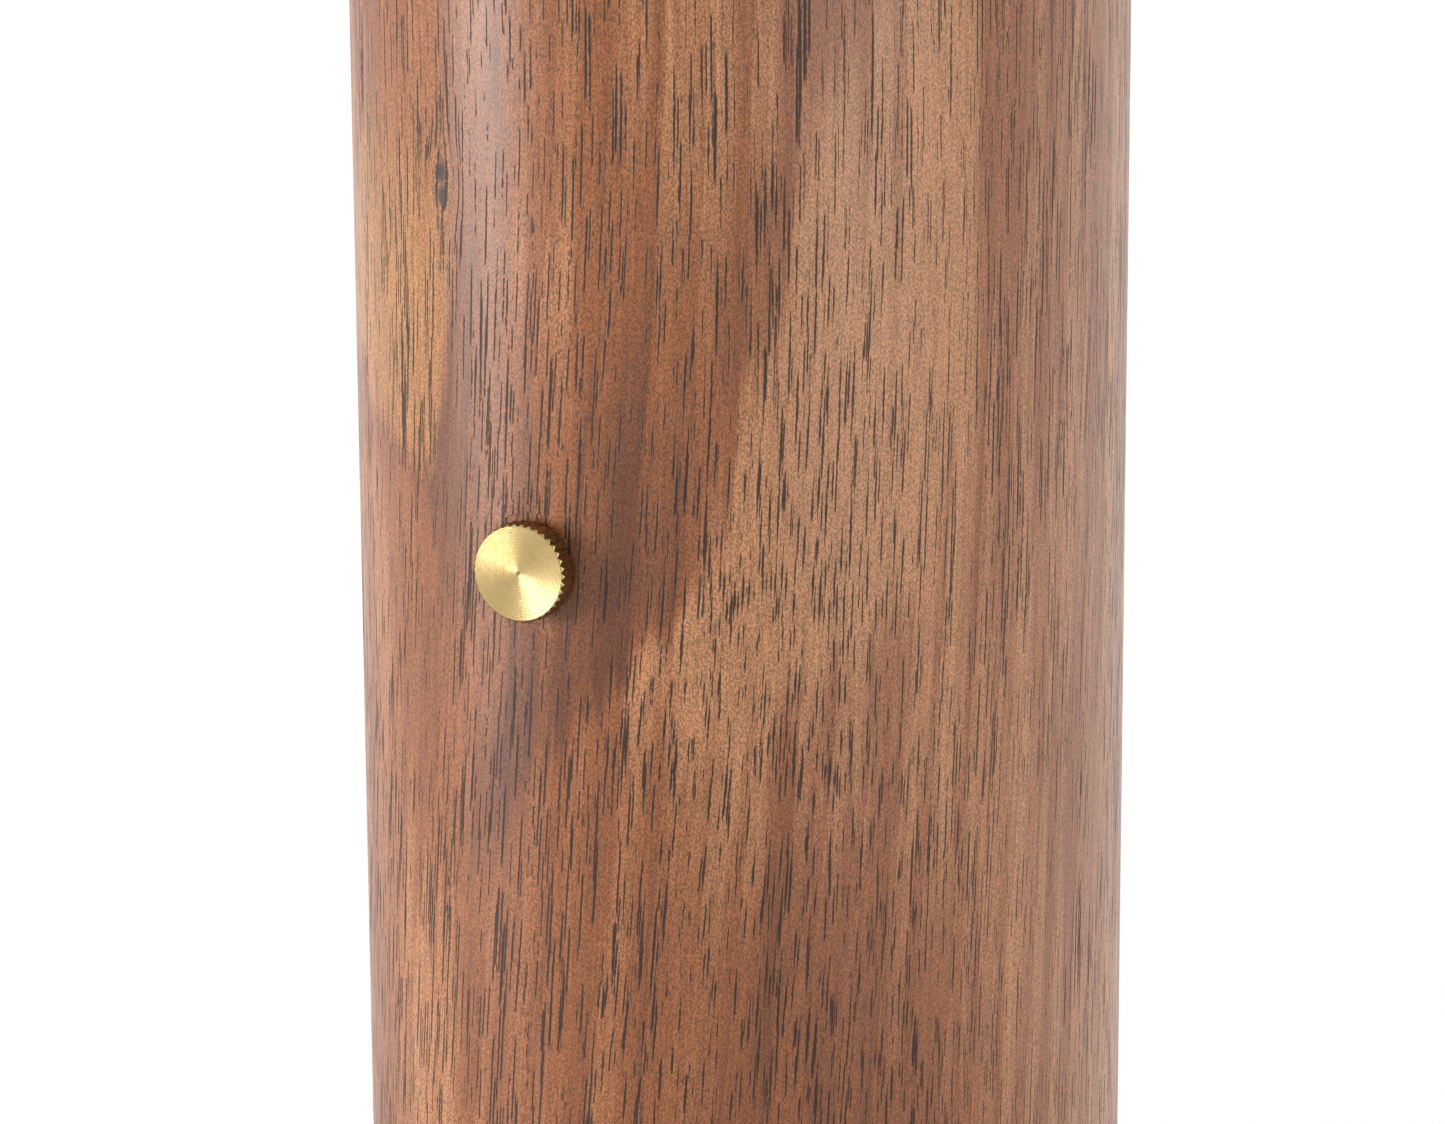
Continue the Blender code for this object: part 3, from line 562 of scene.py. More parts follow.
def knurled(name, head, neck, axis, at):
    """A knob: turned face, chamfer, toothed rim and lower chamfer, then the neck's steps (radius, height)."""
    radius, height, chamfer = head["radius"], head["height"], head["chamfer"]
    teeth, depth = head["teeth"], head["depth"]
    angle = full_circle(teeth * TOOTH_POINTS)
    face = radius - chamfer
    r, h = face_rows(face, head["pitch"], head["ripple"], head["dish"], head["dimple"])
    ease = np.linspace(0.0, 1.0, CHAMFER_ROWS + 1)[1:]
    rim = np.linspace(0.0, 1.0, RIM_ROWS + 1)[1:]
    top_r, top_h = face + chamfer * ease, -chamfer * ease
    side_h = -chamfer - (height - 2.0 * chamfer) * rim
    low_r, low_h = radius - chamfer * ease, -(height - chamfer) - chamfer * ease
    plain_r = np.concatenate([r, top_r, np.full(len(rim), radius), low_r])
    plain_h = np.concatenate([h, top_h, side_h, low_h])
    cap = radius - tooth(angle, teeth, depth)
    toothed = np.minimum(plain_r[:, None], cap)
    neck_r = np.array([step[0] for step in neck])[:, None]
    neck_h = np.array([step[1] for step in neck])[:, None]
    all_r = np.concatenate([toothed, np.repeat(neck_r, angle.shape[1], axis=1)])
    all_h = np.concatenate([plain_h[:, None], neck_h])
    grid = turn(all_r, all_h, angle)
    return crisp(skin(name, placed(grid, axis, at)[::-1]))


THUMB_HEIGHT = 2.4 * MM
SHANK_RADIUS = 2.0 * MM
thumb_head = {"radius": THUMB_RADIUS, "height": THUMB_HEIGHT, "teeth": 38, "depth": 0.30 * MM,
              "chamfer": 0.28 * MM, "pitch": 0.15 * MM, "ripple": 0.009 * MM, "dish": 0.03 * MM,
              "dimple": (0.22 * MM, 0.2 * MM)}
shank_end = THUMB_FACE_Y - thumb_box[1].y
thumb_neck = [(SHANK_RADIUS, -THUMB_HEIGHT), (SHANK_RADIUS, shank_end)]
thumbscrew = knurled("brass_thumbscrew", thumb_head, thumb_neck, "-Y", (0, THUMB_FACE_Y, THUMB_Z))
stands_for(thumbscrew, "lock_handle", "brass_turned", "thumbscrew")

# %% [markdown]
# The big clamp knob and the two small caps over the hinge pin are the same kind of piece, only with other
# sizes. The knob ends in a hub with a blind hole for its screw.

# %% Clamp knob and hinge caps
knob_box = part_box("clamp_knob")
KNOB_HEIGHT = 12.0 * MM
HUB_RADIUS = 9.0 * MM
hub_low = knob_box[0].y - knob_box[1].y
screw_socket = knob_box[0].y - clamp_box[0].y + SEAT_GAP
socket_radius = half_of(clamp_box, 0) + SEAT_GAP
knob_head = {"radius": half_of(knob_box, 0), "height": KNOB_HEIGHT, "teeth": 60, "depth": 0.5 * MM,
             "chamfer": 1.0 * MM, "pitch": 0.4 * MM, "ripple": 0.008 * MM, "dish": 0.3 * MM,
             "dimple": (0.6 * MM, 0.5 * MM)}
HUB_EASE = 0.6 * MM
knob_neck = [(HUB_RADIUS, -KNOB_HEIGHT), (HUB_RADIUS, hub_low + HUB_EASE), (HUB_RADIUS - HUB_EASE, hub_low),
             (socket_radius, hub_low), (socket_radius, screw_socket)]
clamp_knob = knurled("brass_clamp_knob", knob_head, knob_neck, "-Y", (0, knob_box[0].y, CLAMP_Z))
stands_for(clamp_knob, "clamp_handle", "brass_turned", "clamp_knob")
CAP_HEIGHT = cap_box[1].x - cap_box[0].x
cap_head = {"radius": half_of(cap_box, 1), "height": CAP_HEIGHT, "teeth": 36, "depth": 0.35 * MM,
            "chamfer": 0.5 * MM, "pitch": 0.25 * MM, "ripple": 0.005 * MM, "dish": 0.06 * MM,
            "dimple": (0.35 * MM, 0.3 * MM)}
pin_radius = half_of(pin_box, 1) + SEAT_GAP
pin_socket = pin_box[1].x - cap_box[1].x + SEAT_GAP
cap_neck = [(pin_radius, -CAP_HEIGHT), (pin_radius, pin_socket)]
for side, axis, face in (("right", "X", cap_box[1].x), ("left", "-X", -cap_box[1].x)):
    pin_cap = knurled(f"brass_pin_cap_{side}", cap_head, cap_neck, axis, (face, PIN_Y, PIN_Z))
    stands_for(pin_cap, "moving_jaw", "brass_turned", f"pin_cap_{side}")

# %% [markdown]
# ## The clamping screw
# A steel screw whose thread shows in the gap between the jaws. The radius falls from crest to root and back
# over one pitch, and the phase moves on by one pitch per turn, which makes a helix.

# %% Screw with a thread
THREAD_PITCH = 1.5 * MM
THREAD_DEPTH = 0.8 * MM
THREAD_ROWS = 10
THREAD_COLUMNS = 40
THREAD_END = 1.2 * MM
FLANK_STEEPNESS = 1.3
CREST_FLAT = 0.15


def threaded(name, radius, low, high, axis, at):
    """A screw: r = R - d v, v = |2 frac(h/p - a/2pi) - 1| with flat crest and root, eased at both ends."""
    rows = int((high - low) / THREAD_PITCH * THREAD_ROWS)
    h = np.linspace(low, high, rows)[:, None]
    angle = full_circle(THREAD_COLUMNS)
    phase = (h / THREAD_PITCH - angle / (2.0 * math.pi)) % 1.0
    vee = np.clip(np.abs(2.0 * phase - 1.0) * FLANK_STEEPNESS - CREST_FLAT, 0.0, 1.0)
    r = radius - THREAD_DEPTH * vee
    ease = np.minimum(h - low, high - h) / THREAD_END
    r = np.minimum(r, radius - THREAD_DEPTH * (1.0 - np.clip(ease, 0.0, 1.0)))
    return crisp(skin(name, placed(turn(r, h, angle), axis, at)))


clamp_screw = threaded("steel_clamp_screw", half_of(clamp_box, 0), clamp_box[0].y, clamp_box[1].y, "Y",
                       (0, 0, CLAMP_Z))
stands_for(clamp_screw, "clamp_handle", "steel", "clamp_screw")

# %% [markdown]
# ## The opening spring
# A coil of round wire round the screw pushes the jaws apart. Its ends lie in two brass cups. The wire is a
# circle carried along a helix whose pitch closes up at both ends, as on a real spring with dead end coils.

# %% Spring
spring_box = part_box("jaw_spring")
WIRE_RADIUS = 0.8 * MM
SPRING_TURNS = 6.5
SPRING_ROWS = 480
WIRE_COLUMNS = 16
END_CLOSING = 0.115
coil_radius = half_of(spring_box, 0) - WIRE_RADIUS


def coil(radius, wire, low, high, turns):
    """Wire along a helix about Y: its height's share is u - k sin(2 pi u), which closes up both ends."""
    u = np.linspace(0.0, 1.0, SPRING_ROWS)
    share = u - END_CLOSING * np.sin(2.0 * math.pi * u)
    turn_angle = 2.0 * math.pi * turns * u
    radial = np.stack([np.cos(turn_angle), np.zeros_like(u), np.sin(turn_angle)], axis=-1)
    centre = radius * radial
    centre[:, 1] = low + wire + (high - low - 2.0 * wire) * share
    tangent = np.gradient(centre, axis=0)
    tangent /= np.linalg.norm(tangent, axis=1, keepdims=True)
    across = np.cross(tangent, radial)
    across /= np.linalg.norm(across, axis=1, keepdims=True)
    ring = np.linspace(0.0, 2.0 * math.pi, WIRE_COLUMNS, endpoint=False)[None, :, None]
    return centre[:, None] + wire * (np.cos(ring) * radial[:, None] + np.sin(ring) * across[:, None])


spring_grid = coil(coil_radius, WIRE_RADIUS, spring_box[0].y, spring_box[1].y, SPRING_TURNS)
spring = crisp(skin("steel_jaw_spring", spring_grid + np.array([0.0, 0.0, CLAMP_Z])))
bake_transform(spring)
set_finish(spring, "steel")
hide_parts("jaw_spring")
print(f"spring: {len(spring.data.polygons)} faces")

# %% [markdown]
# ## Leather lips
# Each jaw is faced with a strip of firm leather, glued on, so that the work isn't marked. The cut edges are
# burnished round and the middle stands a little proud. As a formula the thickness is
# T (1 - |u|^p)^(1/p) (1 - |v|^p)^(1/p), with u and v from -1 to 1 over the strip and a high power p, so
# only the edges fall away. A slight wave keeps the face from being quite flat.

# %% Lips
LIP_POWER = 9.0
LIP_COLUMNS = 150
LIP_ROWS = 90
LIP_WAVE = 0.05 * MM
LONG_WAVE, SHORT_WAVE = (7.0, 2.0), (3.0, 5.0)


def edge_spaced(count):
    """Values from -1 to 1 that crowd together near both ends: sin(pi t / 2)."""
    return np.sin(np.linspace(-math.pi / 2.0, math.pi / 2.0, count))


def lip(name, box, outward):
    """A leather strip in the XZ plane, flat at the back and crowned on the side that holds the work."""
    u = edge_spaced(LIP_COLUMNS)[None, :]
    v = edge_spaced(LIP_ROWS)[:, None]
    across, along = (np.clip(1.0 - np.abs(k) ** LIP_POWER, 0.0, 1.0) for k in (u, v))
    fall = across * along
    swell = np.sin(LONG_WAVE[0] * u + LONG_WAVE[1] * v) * np.sin(SHORT_WAVE[1] * v - SHORT_WAVE[0] * u)
    wave = LIP_WAVE * (swell - 1.0)
    thick = (box[1].y - box[0].y + wave) * fall ** (1.0 / LIP_POWER)
    back = box[1].y if outward < 0 else box[0].y
    x = np.broadcast_to(half_of(box, 0) * u, thick.shape)
    z = np.broadcast_to((box[0].z + box[1].z) / 2.0 + half_of(box, 2) * v, thick.shape)
    front = np.stack([x, back + outward * thick, z], axis=-1)
    rear = np.stack([x, np.full_like(thick, back), z], axis=-1)
    points = np.concatenate([front.reshape(-1, 3), rear.reshape(-1, 3)])
    here = np.arange(thick.size).reshape(thick.shape)
    face = np.stack([here[:-1, :-1], here[:-1, 1:], here[1:, 1:], here[1:, :-1]], axis=-1).reshape(-1, 4)
    face = face if outward < 0 else face[:, ::-1]
    faces = np.concatenate([face, face[:, ::-1] + thick.size])
    return put(name, points, faces)


def welded(obj, distance):
    """Joins points that lie closer together than the distance."""
    bpy.context.view_layer.objects.active = obj
    step = obj.modifiers.new("weld", "WELD")
    step.merge_threshold = distance
    bpy.ops.object.modifier_apply(modifier=step.name)
    return crisp(obj)


WELD = 0.01 * MM
front_lip_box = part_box("front_lip")
LIPS = [("rear_lip", lip_box, -1.0, "column"), ("front_lip", front_lip_box, 1.0, "moving_jaw")]
for name, box, outward, body in LIPS:
    strip = welded(lip(f"leather_{name}", box, outward), WELD)
    stands_for(strip, body, "leather_lip", name)

# %% [markdown]
# ## A small language for node trees
# Finishes are built from nodes in code. A few helpers keep that readable: one adds a node and links or sets
# its inputs, two do arithmetic, one maps a value softly from one range to another, and the rest make noise
# and mix. All textures use Object coordinates. The pieces sit at the origin unrotated, so those are plain
# metres in the frame of the whole object, and a scale of 1000 is one per millimetre.

# %% Node helpers
MIX_SHARE, MIX_FIRST, MIX_SECOND, MIX_RESULT = 0, 6, 7, 2


def paint(red, green, blue):
    """A colour given as screen values 0-255, as linear light: ((c + 0.055) / 1.055)^2.4 above the toe."""
    screen = np.array([red, green, blue]) / 255.0
    linear = np.where(screen > 0.04045, ((screen + 0.055) / 1.055) ** 2.4, screen / 12.92)
    return (*linear.tolist(), 1.0)


def add(tree, kind, values, **settings):
    """A node with its settings; an input given as a socket is linked, and any other value is set."""
    made = tree.nodes.new(kind)
    for key, value in settings.items():
        setattr(made, key, value)
    for key, value in values.items():
        if isinstance(value, bpy.types.NodeSocket):
            tree.links.new(value, made.inputs[key])
        else:
            made.inputs[key].default_value = value
    return made


def calc(tree, operation, first, second=0.0):
    """One step of arithmetic on numbers."""
    return add(tree, "ShaderNodeMath", {0: first, 1: second}, operation=operation).outputs[0]


def vec(tree, operation, first, second=(0.0, 0.0, 0.0)):
    """One step of arithmetic on vectors."""
    made = add(tree, "ShaderNodeVectorMath", {0: first, 1: second}, operation=operation)
    return made.outputs["Value" if operation == "LENGTH" else "Vector"]


def soft(tree, value, low, high, to_low=0.0, to_high=1.0):
    """Maps low..high to to_low..to_high along a smooth step, and stays at the ends beyond."""
    made = add(tree, "ShaderNodeMapRange", {0: value, 1: low, 2: high, 3: to_low, 4: to_high},
               interpolation_type="SMOOTHSTEP")
    return made.outputs[0]


def noise(tree, vector, scale, detail=2.0, roughness=0.5):
    """Noise value of a vector that is first stretched by a scale per axis, in cells per metre."""
    stretched = vec(tree, "MULTIPLY", vector, scale)
    values = {"Vector": stretched, "Scale": 1.0, "Detail": detail, "Roughness": roughness}
    return add(tree, "ShaderNodeTexNoise", values).outputs["Fac"]


def wander(tree, vector, scale, reach):
    """The vector moved by up to half the reach in each direction by a noise."""
    values = {"Vector": vec(tree, "MULTIPLY", vector, scale), "Scale": 1.0, "Detail": 2.0}
    shift = vec(tree, "SUBTRACT", add(tree, "ShaderNodeTexNoise", values).outputs["Color"], (0.5, 0.5, 0.5))
    return vec(tree, "ADD", vector, vec(tree, "MULTIPLY", shift, reach))


def mix(tree, share, first, second, blend="MIX"):
    """Mixes two colours by a share."""
    values = {MIX_SHARE: share, MIX_FIRST: first, MIX_SECOND: second}
    made = add(tree, "ShaderNodeMix", values, data_type="RGBA", blend_type=blend)
    return made.outputs[MIX_RESULT]


def most(tree, *values):
    """The largest of several values."""
    best = values[0]
    for value in values[1:]:
        best = calc(tree, "MAXIMUM", best, value)
    return best


def total(tree, *values):
    """The sum of several values."""
    summed = values[0]
    for value in values[1:]:
        summed = calc(tree, "ADD", summed, value)
    return summed


def triple(tree, value):
    """One value three times over, as a vector or a grey."""
    return add(tree, "ShaderNodeCombineXYZ", {0: value, 1: value, 2: value}).outputs[0]


def axes_of(tree, vector):
    """The three values of a vector."""
    return add(tree, "ShaderNodeSeparateXYZ", {0: vector}).outputs


def finish_tree(name):
    """A new material with its node tree, Principled shader and Object coordinates."""
    material = bpy.data.materials.new(name)
    material.use_nodes = True
    tree = material.node_tree
    shader = tree.nodes["Principled BSDF"]
    place = tree.nodes.new("ShaderNodeTexCoord").outputs["Object"]
    return material, tree, shader, place


def wire(tree, shader, colour, roughness, height, strength, distance):
    """Links colour, roughness and a bump made from a height to the shader."""
    bump = add(tree, "ShaderNodeBump", {"Height": height, "Strength": strength, "Distance": distance})
    tree.links.new(colour, shader.inputs["Base Color"])
    tree.links.new(roughness, shader.inputs["Roughness"])
    tree.links.new(bump.outputs["Normal"], shader.inputs["Normal"])


# %% [markdown]
# ## Oiled walnut
# Walnut is a semi-ring-porous wood. Four things make it recognisable up close: growth rings that darken
# slowly and break off suddenly, long open pores that show as dark dashes along the grain, fine pale fibres
# between them, and slow smoky changes of colour. The rings are distances from a slightly leaning heart line
# beside the board, so a flat-sawn face gets long arches and a quarter-sawn one straight lines. The pores
# are cells of a Voronoi texture that are much longer than wide: where a cell's centre is near the surface,
# a dash shows.

# %% Wood colours and the scales of the grain
RING_WIDTH = 4.2 * MM
PALE_WOOD = paint(208, 147, 102)
BROWN_WOOD = paint(165, 101, 60)
SMOKE_WOOD = paint(114, 65, 38)
GOLD_WOOD = paint(188, 132, 76)
PORE_WOOD = paint(30, 16, 11)
# A scale is in cells per metre, twice across the grain and once along it, and a reach in metres.
BENDS, BEND_REACH = (16.0, 16.0, 5.0), (0.006, 0.006, 0.0)
RIPPLES, RIPPLE_REACH = (110.0, 110.0, 16.0), (0.0012, 0.0012, 0.0)
RAGS, RAG_REACH = (2600.0, 2600.0, 1100.0), (0.00016, 0.00016, 0.0)
SWELLS = (45.0, 45.0, 4.0)
FEATHERS = (1400.0, 1400.0, 30.0)
STREAKS = (300.0, 300.0, 8.0)
PATCHES = (34.0, 34.0, 11.0)
CROWDS = (140.0, 140.0, 20.0)
FIBRES = (2600.0, 2600.0, 90.0)
STIPPLES = (6400.0, 6400.0, 3800.0)
# A layer of pores is in cells per metre across and along the grain, then a dash's half width in cells.
PORE_LAYERS = [(1150.0, 30.0, 0.12), (1600.0, 36.0, 0.15), (2100.0, 50.0, 0.175), (2700.0, 80.0, 0.18)]
print(f"{len(PORE_LAYERS)} layers of pores, rings {RING_WIDTH / MM:.1f} mm wide")

# %% Rings, colour and pores
FEATHER_WEIGHT = 0.45
LATE_POWER = 2.5
LATE_WEIGHT, SMOKE_AND_SHADE_WEIGHT, PALE_AND_SHEEN_WEIGHT, GOLD_WEIGHT = 0.24, 0.68, 0.6, 0.75
BLUE_FALL = 1.25
PORE_CLOSING = 0.18


def growth(tree, grain, bent, heart, lean):
    """Share of a ring, 0 to 1: the fraction of (distance to a leaning heart line) / width + a slow noise."""
    across = vec(tree, "MULTIPLY", vec(tree, "SUBTRACT", bent, (*heart, 0.0)), (1.0, 1.0, 0.0))
    radius = total(tree, vec(tree, "LENGTH", across), calc(tree, "MULTIPLY", axes_of(tree, bent)[2], lean))
    feather = calc(tree, "MULTIPLY", noise(tree, grain, FEATHERS), FEATHER_WEIGHT)
    uneven = total(tree, noise(tree, bent, SWELLS), feather)
    return calc(tree, "FRACT", total(tree, calc(tree, "DIVIDE", radius, RING_WIDTH), uneven))


def wood_colour(tree, grain, bent, ring, marks):
    """From pale by brown to smoky with a shade, the sum of rings, streaks, patches and marks; then gold."""
    late = calc(tree, "MULTIPLY", calc(tree, "POWER", ring, LATE_POWER), LATE_WEIGHT)
    streak = soft(tree, noise(tree, grain, STREAKS, 4.0, 0.6), 0.3, 0.75, 0.0, 0.5)
    patch = soft(tree, noise(tree, bent, PATCHES), 0.3, 0.72, -0.12, 0.42)
    # The smoky mark darkens the colour; at the upper left it is in part painted shade.
    smoke_and_shade = calc(tree, "MULTIPLY", marks["smoke_and_shade"], SMOKE_AND_SHADE_WEIGHT)
    # The pale mark lightens the colour: part pale wood and part painted sheen.
    pale = calc(tree, "MULTIPLY", marks["pale"], -PALE_AND_SHEEN_WEIGHT)
    shade = total(tree, late, streak, patch, smoke_and_shade, pale)
    light = mix(tree, soft(tree, shade, -0.1, 0.55), PALE_WOOD, BROWN_WOOD)
    colour = mix(tree, soft(tree, shade, 0.45, 1.25), light, SMOKE_WOOD)
    return mix(tree, calc(tree, "MULTIPLY", marks["gold"], GOLD_WEIGHT), colour, GOLD_WOOD)


def fibre_tone(tree, fibre, stipple):
    """A factor on the colour from two fine noises; a power on its blue lets that swing a little more."""
    speck = total(tree, soft(tree, fibre, 0.25, 0.75, 0.82, 1.16), soft(tree, stipple, 0.36, 0.64, -0.4, 0.4))
    blue = calc(tree, "POWER", speck, BLUE_FALL)
    return add(tree, "ShaderNodeCombineXYZ", {0: speck, 1: speck, 2: blue}).outputs[0]


def pores(tree, grain, room, across, along, width):
    """Dashes with blunt ends: 1 where a stretched cell's box distance is under its width times the room."""
    cells = vec(tree, "MULTIPLY", grain, (across, across, along))
    voronoi = add(tree, "ShaderNodeTexVoronoi", {"Vector": cells, "Scale": 1.0}, distance="CHEBYCHEV")
    off = calc(tree, "SUBTRACT", voronoi.outputs["Distance"], calc(tree, "MULTIPLY", room, width))
    return soft(tree, off, -0.03, 0.02, 1.0, 0.0)


def all_pores(tree, grain, bent, ring):
    """The layers of pores together: wider where they crowd, narrower towards the end of a ring."""
    ragged = wander(tree, grain, RAGS, RAG_REACH)
    crowd = soft(tree, noise(tree, bent, CROWDS), 0.3, 0.6, 0.84, 1.25)
    room = total(tree, crowd, calc(tree, "MULTIPLY", ring, -PORE_CLOSING))
    return most(tree, *[pores(tree, ragged, room, *layer) for layer in PORE_LAYERS])


# %% Walnut
GRAIN_AXES = {"Z": (0, 1, 2), "X": (1, 2, 0)}
NO_MARKS = {"gold": 0.0, "pale": 0.0, "smoke_and_shade": 0.0, "knot": 0.0}
PORE_DARKNESS = 0.93
GLOSS_LOW, GLOSS_HIGH = 0.29, 0.38
PORE_ROUGHNESS = 0.3
FIBRE_HEIGHT = 0.3
WOOD_RELIEF = 0.1 * MM


def walnut(name, heart, lean, along="Z", figure=None):
    """Oiled walnut with its grain along an axis, a heart line beside the board and figure from a function."""
    material, tree, shader, place = finish_tree(name)
    axes = axes_of(tree, place)
    turned = add(tree, "ShaderNodeCombineXYZ", {k: axes[GRAIN_AXES[along][k]] for k in range(3)}).outputs[0]
    marks = figure(tree, turned) if figure else {"grain": turned, **NO_MARKS}
    bent = wander(tree, marks["grain"], BENDS, BEND_REACH)
    grain = wander(tree, bent, RIPPLES, RIPPLE_REACH)
    ring = growth(tree, grain, bent, heart, lean)
    fibre = noise(tree, grain, FIBRES, 3.0, 0.6)
    stipple = noise(tree, grain, STIPPLES, 2.0, 0.6)
    dash = all_pores(tree, grain, bent, ring)
    colour = wood_colour(tree, grain, bent, ring, marks)
    colour = mix(tree, 1.0, colour, fibre_tone(tree, fibre, stipple), "MULTIPLY")
    opened = calc(tree, "MULTIPLY", most(tree, dash, marks["knot"]), PORE_DARKNESS)
    colour = mix(tree, opened, colour, PORE_WOOD)
    polish = soft(tree, fibre, 0.2, 0.8, GLOSS_LOW, GLOSS_HIGH)
    rough = total(tree, polish, calc(tree, "MULTIPLY", dash, PORE_ROUGHNESS))
    relief = calc(tree, "SUBTRACT", calc(tree, "MULTIPLY", total(tree, fibre, stipple), FIBRE_HEIGHT), dash)
    wire(tree, shader, colour, rough, relief, 0.5, WOOD_RELIEF)
    return material


# %% [markdown]
# ### Figure of the pillar
# The photographed side has marks of its own: a golden field on the left that ends in a dark V, two pin
# knots with a smoky streak above them, a broad dark band that comes down the middle and swings to the left,
# and a paler field on the band's right, which is part pale wood and part a painted sheen. The colour is
# also darker towards the lower right, and towards the upper left, where it is part smoky wood and part
# painted shade that tones down the light's sheen at the top. Each is a distance: to a parabola for the V,
# to a bent line for the band and to a point for the knots. The grain is pushed aside round the knots, so
# the pores flow round them.

# %% Golden field and V
V_X = -12.5 * MM
V_Z = THUMB_Z + 8.5 * MM
V_WIDE = 5.3 * MM
V_STEEP = 1.05 * MM
V_TURN = 0.5 * MM
V_FADE_LOW, V_FADE_HIGH = THUMB_Z + 26.0 * MM, THUMB_Z + 52.0 * MM
GOLD_EDGE = 5.0 * MM
LINE_HALF, LINE_SHARE = 1.6 * MM, 0.62
HALO_BELOW, HALO_ABOVE, HALO_SHARE = 7.0 * MM, 3.0 * MM, 0.4


def golden_field(tree, x, z):
    """Gold above the parabola z = V + ((x - V) / w)^2 and dark along it, by height over sqrt(1 + slope^2)."""
    aside = calc(tree, "SUBTRACT", x, V_X)
    width = soft(tree, aside, -V_TURN, V_TURN, V_WIDE, V_STEEP)
    ratio = calc(tree, "DIVIDE", aside, width)
    bowl = calc(tree, "MULTIPLY", calc(tree, "POWER", ratio, 2.0), MM)
    above = calc(tree, "SUBTRACT", calc(tree, "SUBTRACT", z, V_Z), bowl)
    slope = calc(tree, "MULTIPLY", calc(tree, "DIVIDE", ratio, width), 2.0 * MM)
    span = calc(tree, "SQRT", calc(tree, "ADD", calc(tree, "MULTIPLY", slope, slope), 1.0))
    off = calc(tree, "DIVIDE", above, span)
    fade = soft(tree, z, V_FADE_LOW, V_FADE_HIGH, 1.0, 0.0)
    gold = calc(tree, "MULTIPLY", soft(tree, off, 0.0, GOLD_EDGE), fade)
    line = soft(tree, calc(tree, "ABSOLUTE", off), 0.0, LINE_HALF, LINE_SHARE, 0.0)
    inside = soft(tree, off, 0.0, HALO_ABOVE, HALO_SHARE, 0.0)
    halo = calc(tree, "MULTIPLY", soft(tree, off, -HALO_BELOW, 0.0), inside)
    return gold, calc(tree, "MULTIPLY", most(tree, line, halo), fade)


# %% Dark band, pale field, foot and crown
BAND_X = 14.5 * MM
BAND_BEND_Z = THUMB_Z - 1.0 * MM
BAND_RISE = 0.2
BAND_SLOPE = 0.75
BAND_WIDTH = 15.0 * MM
BAND_TURN = 1.0 * MM
BAND_EDGE = 4.5 * MM
BAND_SHARE = 0.58
BAND_LOW, BAND_HIGH = THUMB_Z - 44.0 * MM, THUMB_Z - 10.0 * MM
BAND_FADE_LOW, BAND_FADE_HIGH, BAND_TOP = THUMB_Z + 24.0 * MM, THUMB_Z + 48.0 * MM, 0.3
PALE_AND_SHEEN_EDGE, PALE_AND_SHEEN_FULL, PALE_AND_SHEEN_END = 5.0 * MM, 9.0 * MM, 24.0 * MM
PALE_AND_SHEEN_LOW, PALE_AND_SHEEN_HIGH = THUMB_Z - 30.0 * MM, THUMB_Z
FOOT_TOP, FOOT_LOW, FOOT_SHARE = THUMB_Z - 24.0 * MM, THUMB_Z - 50.0 * MM, 0.26
FOOT_LEFT, FOOT_RIGHT = -14.0 * MM, 4.0 * MM
CROWN_LOW, CROWN_HIGH, CROWN_SHARE = THUMB_Z + 26.0 * MM, THUMB_Z + 46.0 * MM, 0.5
CROWN_LEFT, CROWN_RIGHT = 3.0 * MM, 12.0 * MM


def dark_band(tree, x, z):
    """Dark left of a line with a bend in it, pale on its right, part wood and part painted sheen, by the
    distance across.
    """
    drop = calc(tree, "MAXIMUM", calc(tree, "SUBTRACT", BAND_BEND_Z, z), 0.0)
    climb = calc(tree, "MAXIMUM", calc(tree, "SUBTRACT", z, BAND_BEND_Z), 0.0)
    line = calc(tree, "SUBTRACT", BAND_X, calc(tree, "MULTIPLY", drop, BAND_SLOPE))
    line = calc(tree, "ADD", line, calc(tree, "MULTIPLY", climb, BAND_RISE))
    off = calc(tree, "SUBTRACT", x, line)
    rim = soft(tree, off, -BAND_TURN, BAND_EDGE, BAND_SHARE, 0.0)
    band = calc(tree, "MULTIPLY", soft(tree, off, -BAND_WIDTH, 0.0), rim)
    # The paler field right of the line: part pale wood and part painted sheen.
    fading = soft(tree, off, PALE_AND_SHEEN_FULL, PALE_AND_SHEEN_END, 1.0, 0.0)
    field = calc(tree, "MULTIPLY", soft(tree, off, 0.0, PALE_AND_SHEEN_EDGE), fading)
    band = calc(tree, "MULTIPLY", band, soft(tree, z, BAND_LOW, BAND_HIGH))
    band = calc(tree, "MULTIPLY", band, soft(tree, z, BAND_FADE_LOW, BAND_FADE_HIGH, 1.0, BAND_TOP))
    return band, calc(tree, "MULTIPLY", field, soft(tree, z, PALE_AND_SHEEN_LOW, PALE_AND_SHEEN_HIGH))


def dark_foot(tree, x, z):
    """Darker towards the lower right: a step down the height times a step across."""
    lower = soft(tree, z, FOOT_TOP, FOOT_LOW, 0.0, FOOT_SHARE)
    return calc(tree, "MULTIPLY", lower, soft(tree, x, FOOT_LEFT, FOOT_RIGHT))


def crown_smoke_and_shade(tree, x, z):
    """Darker towards the upper left, part smoke and part painted shade: a step up the height times a step
    across.
    """
    upper = soft(tree, z, CROWN_LOW, CROWN_HIGH, 0.0, CROWN_SHARE)
    return calc(tree, "MULTIPLY", upper, soft(tree, x, CROWN_RIGHT, CROWN_LEFT))


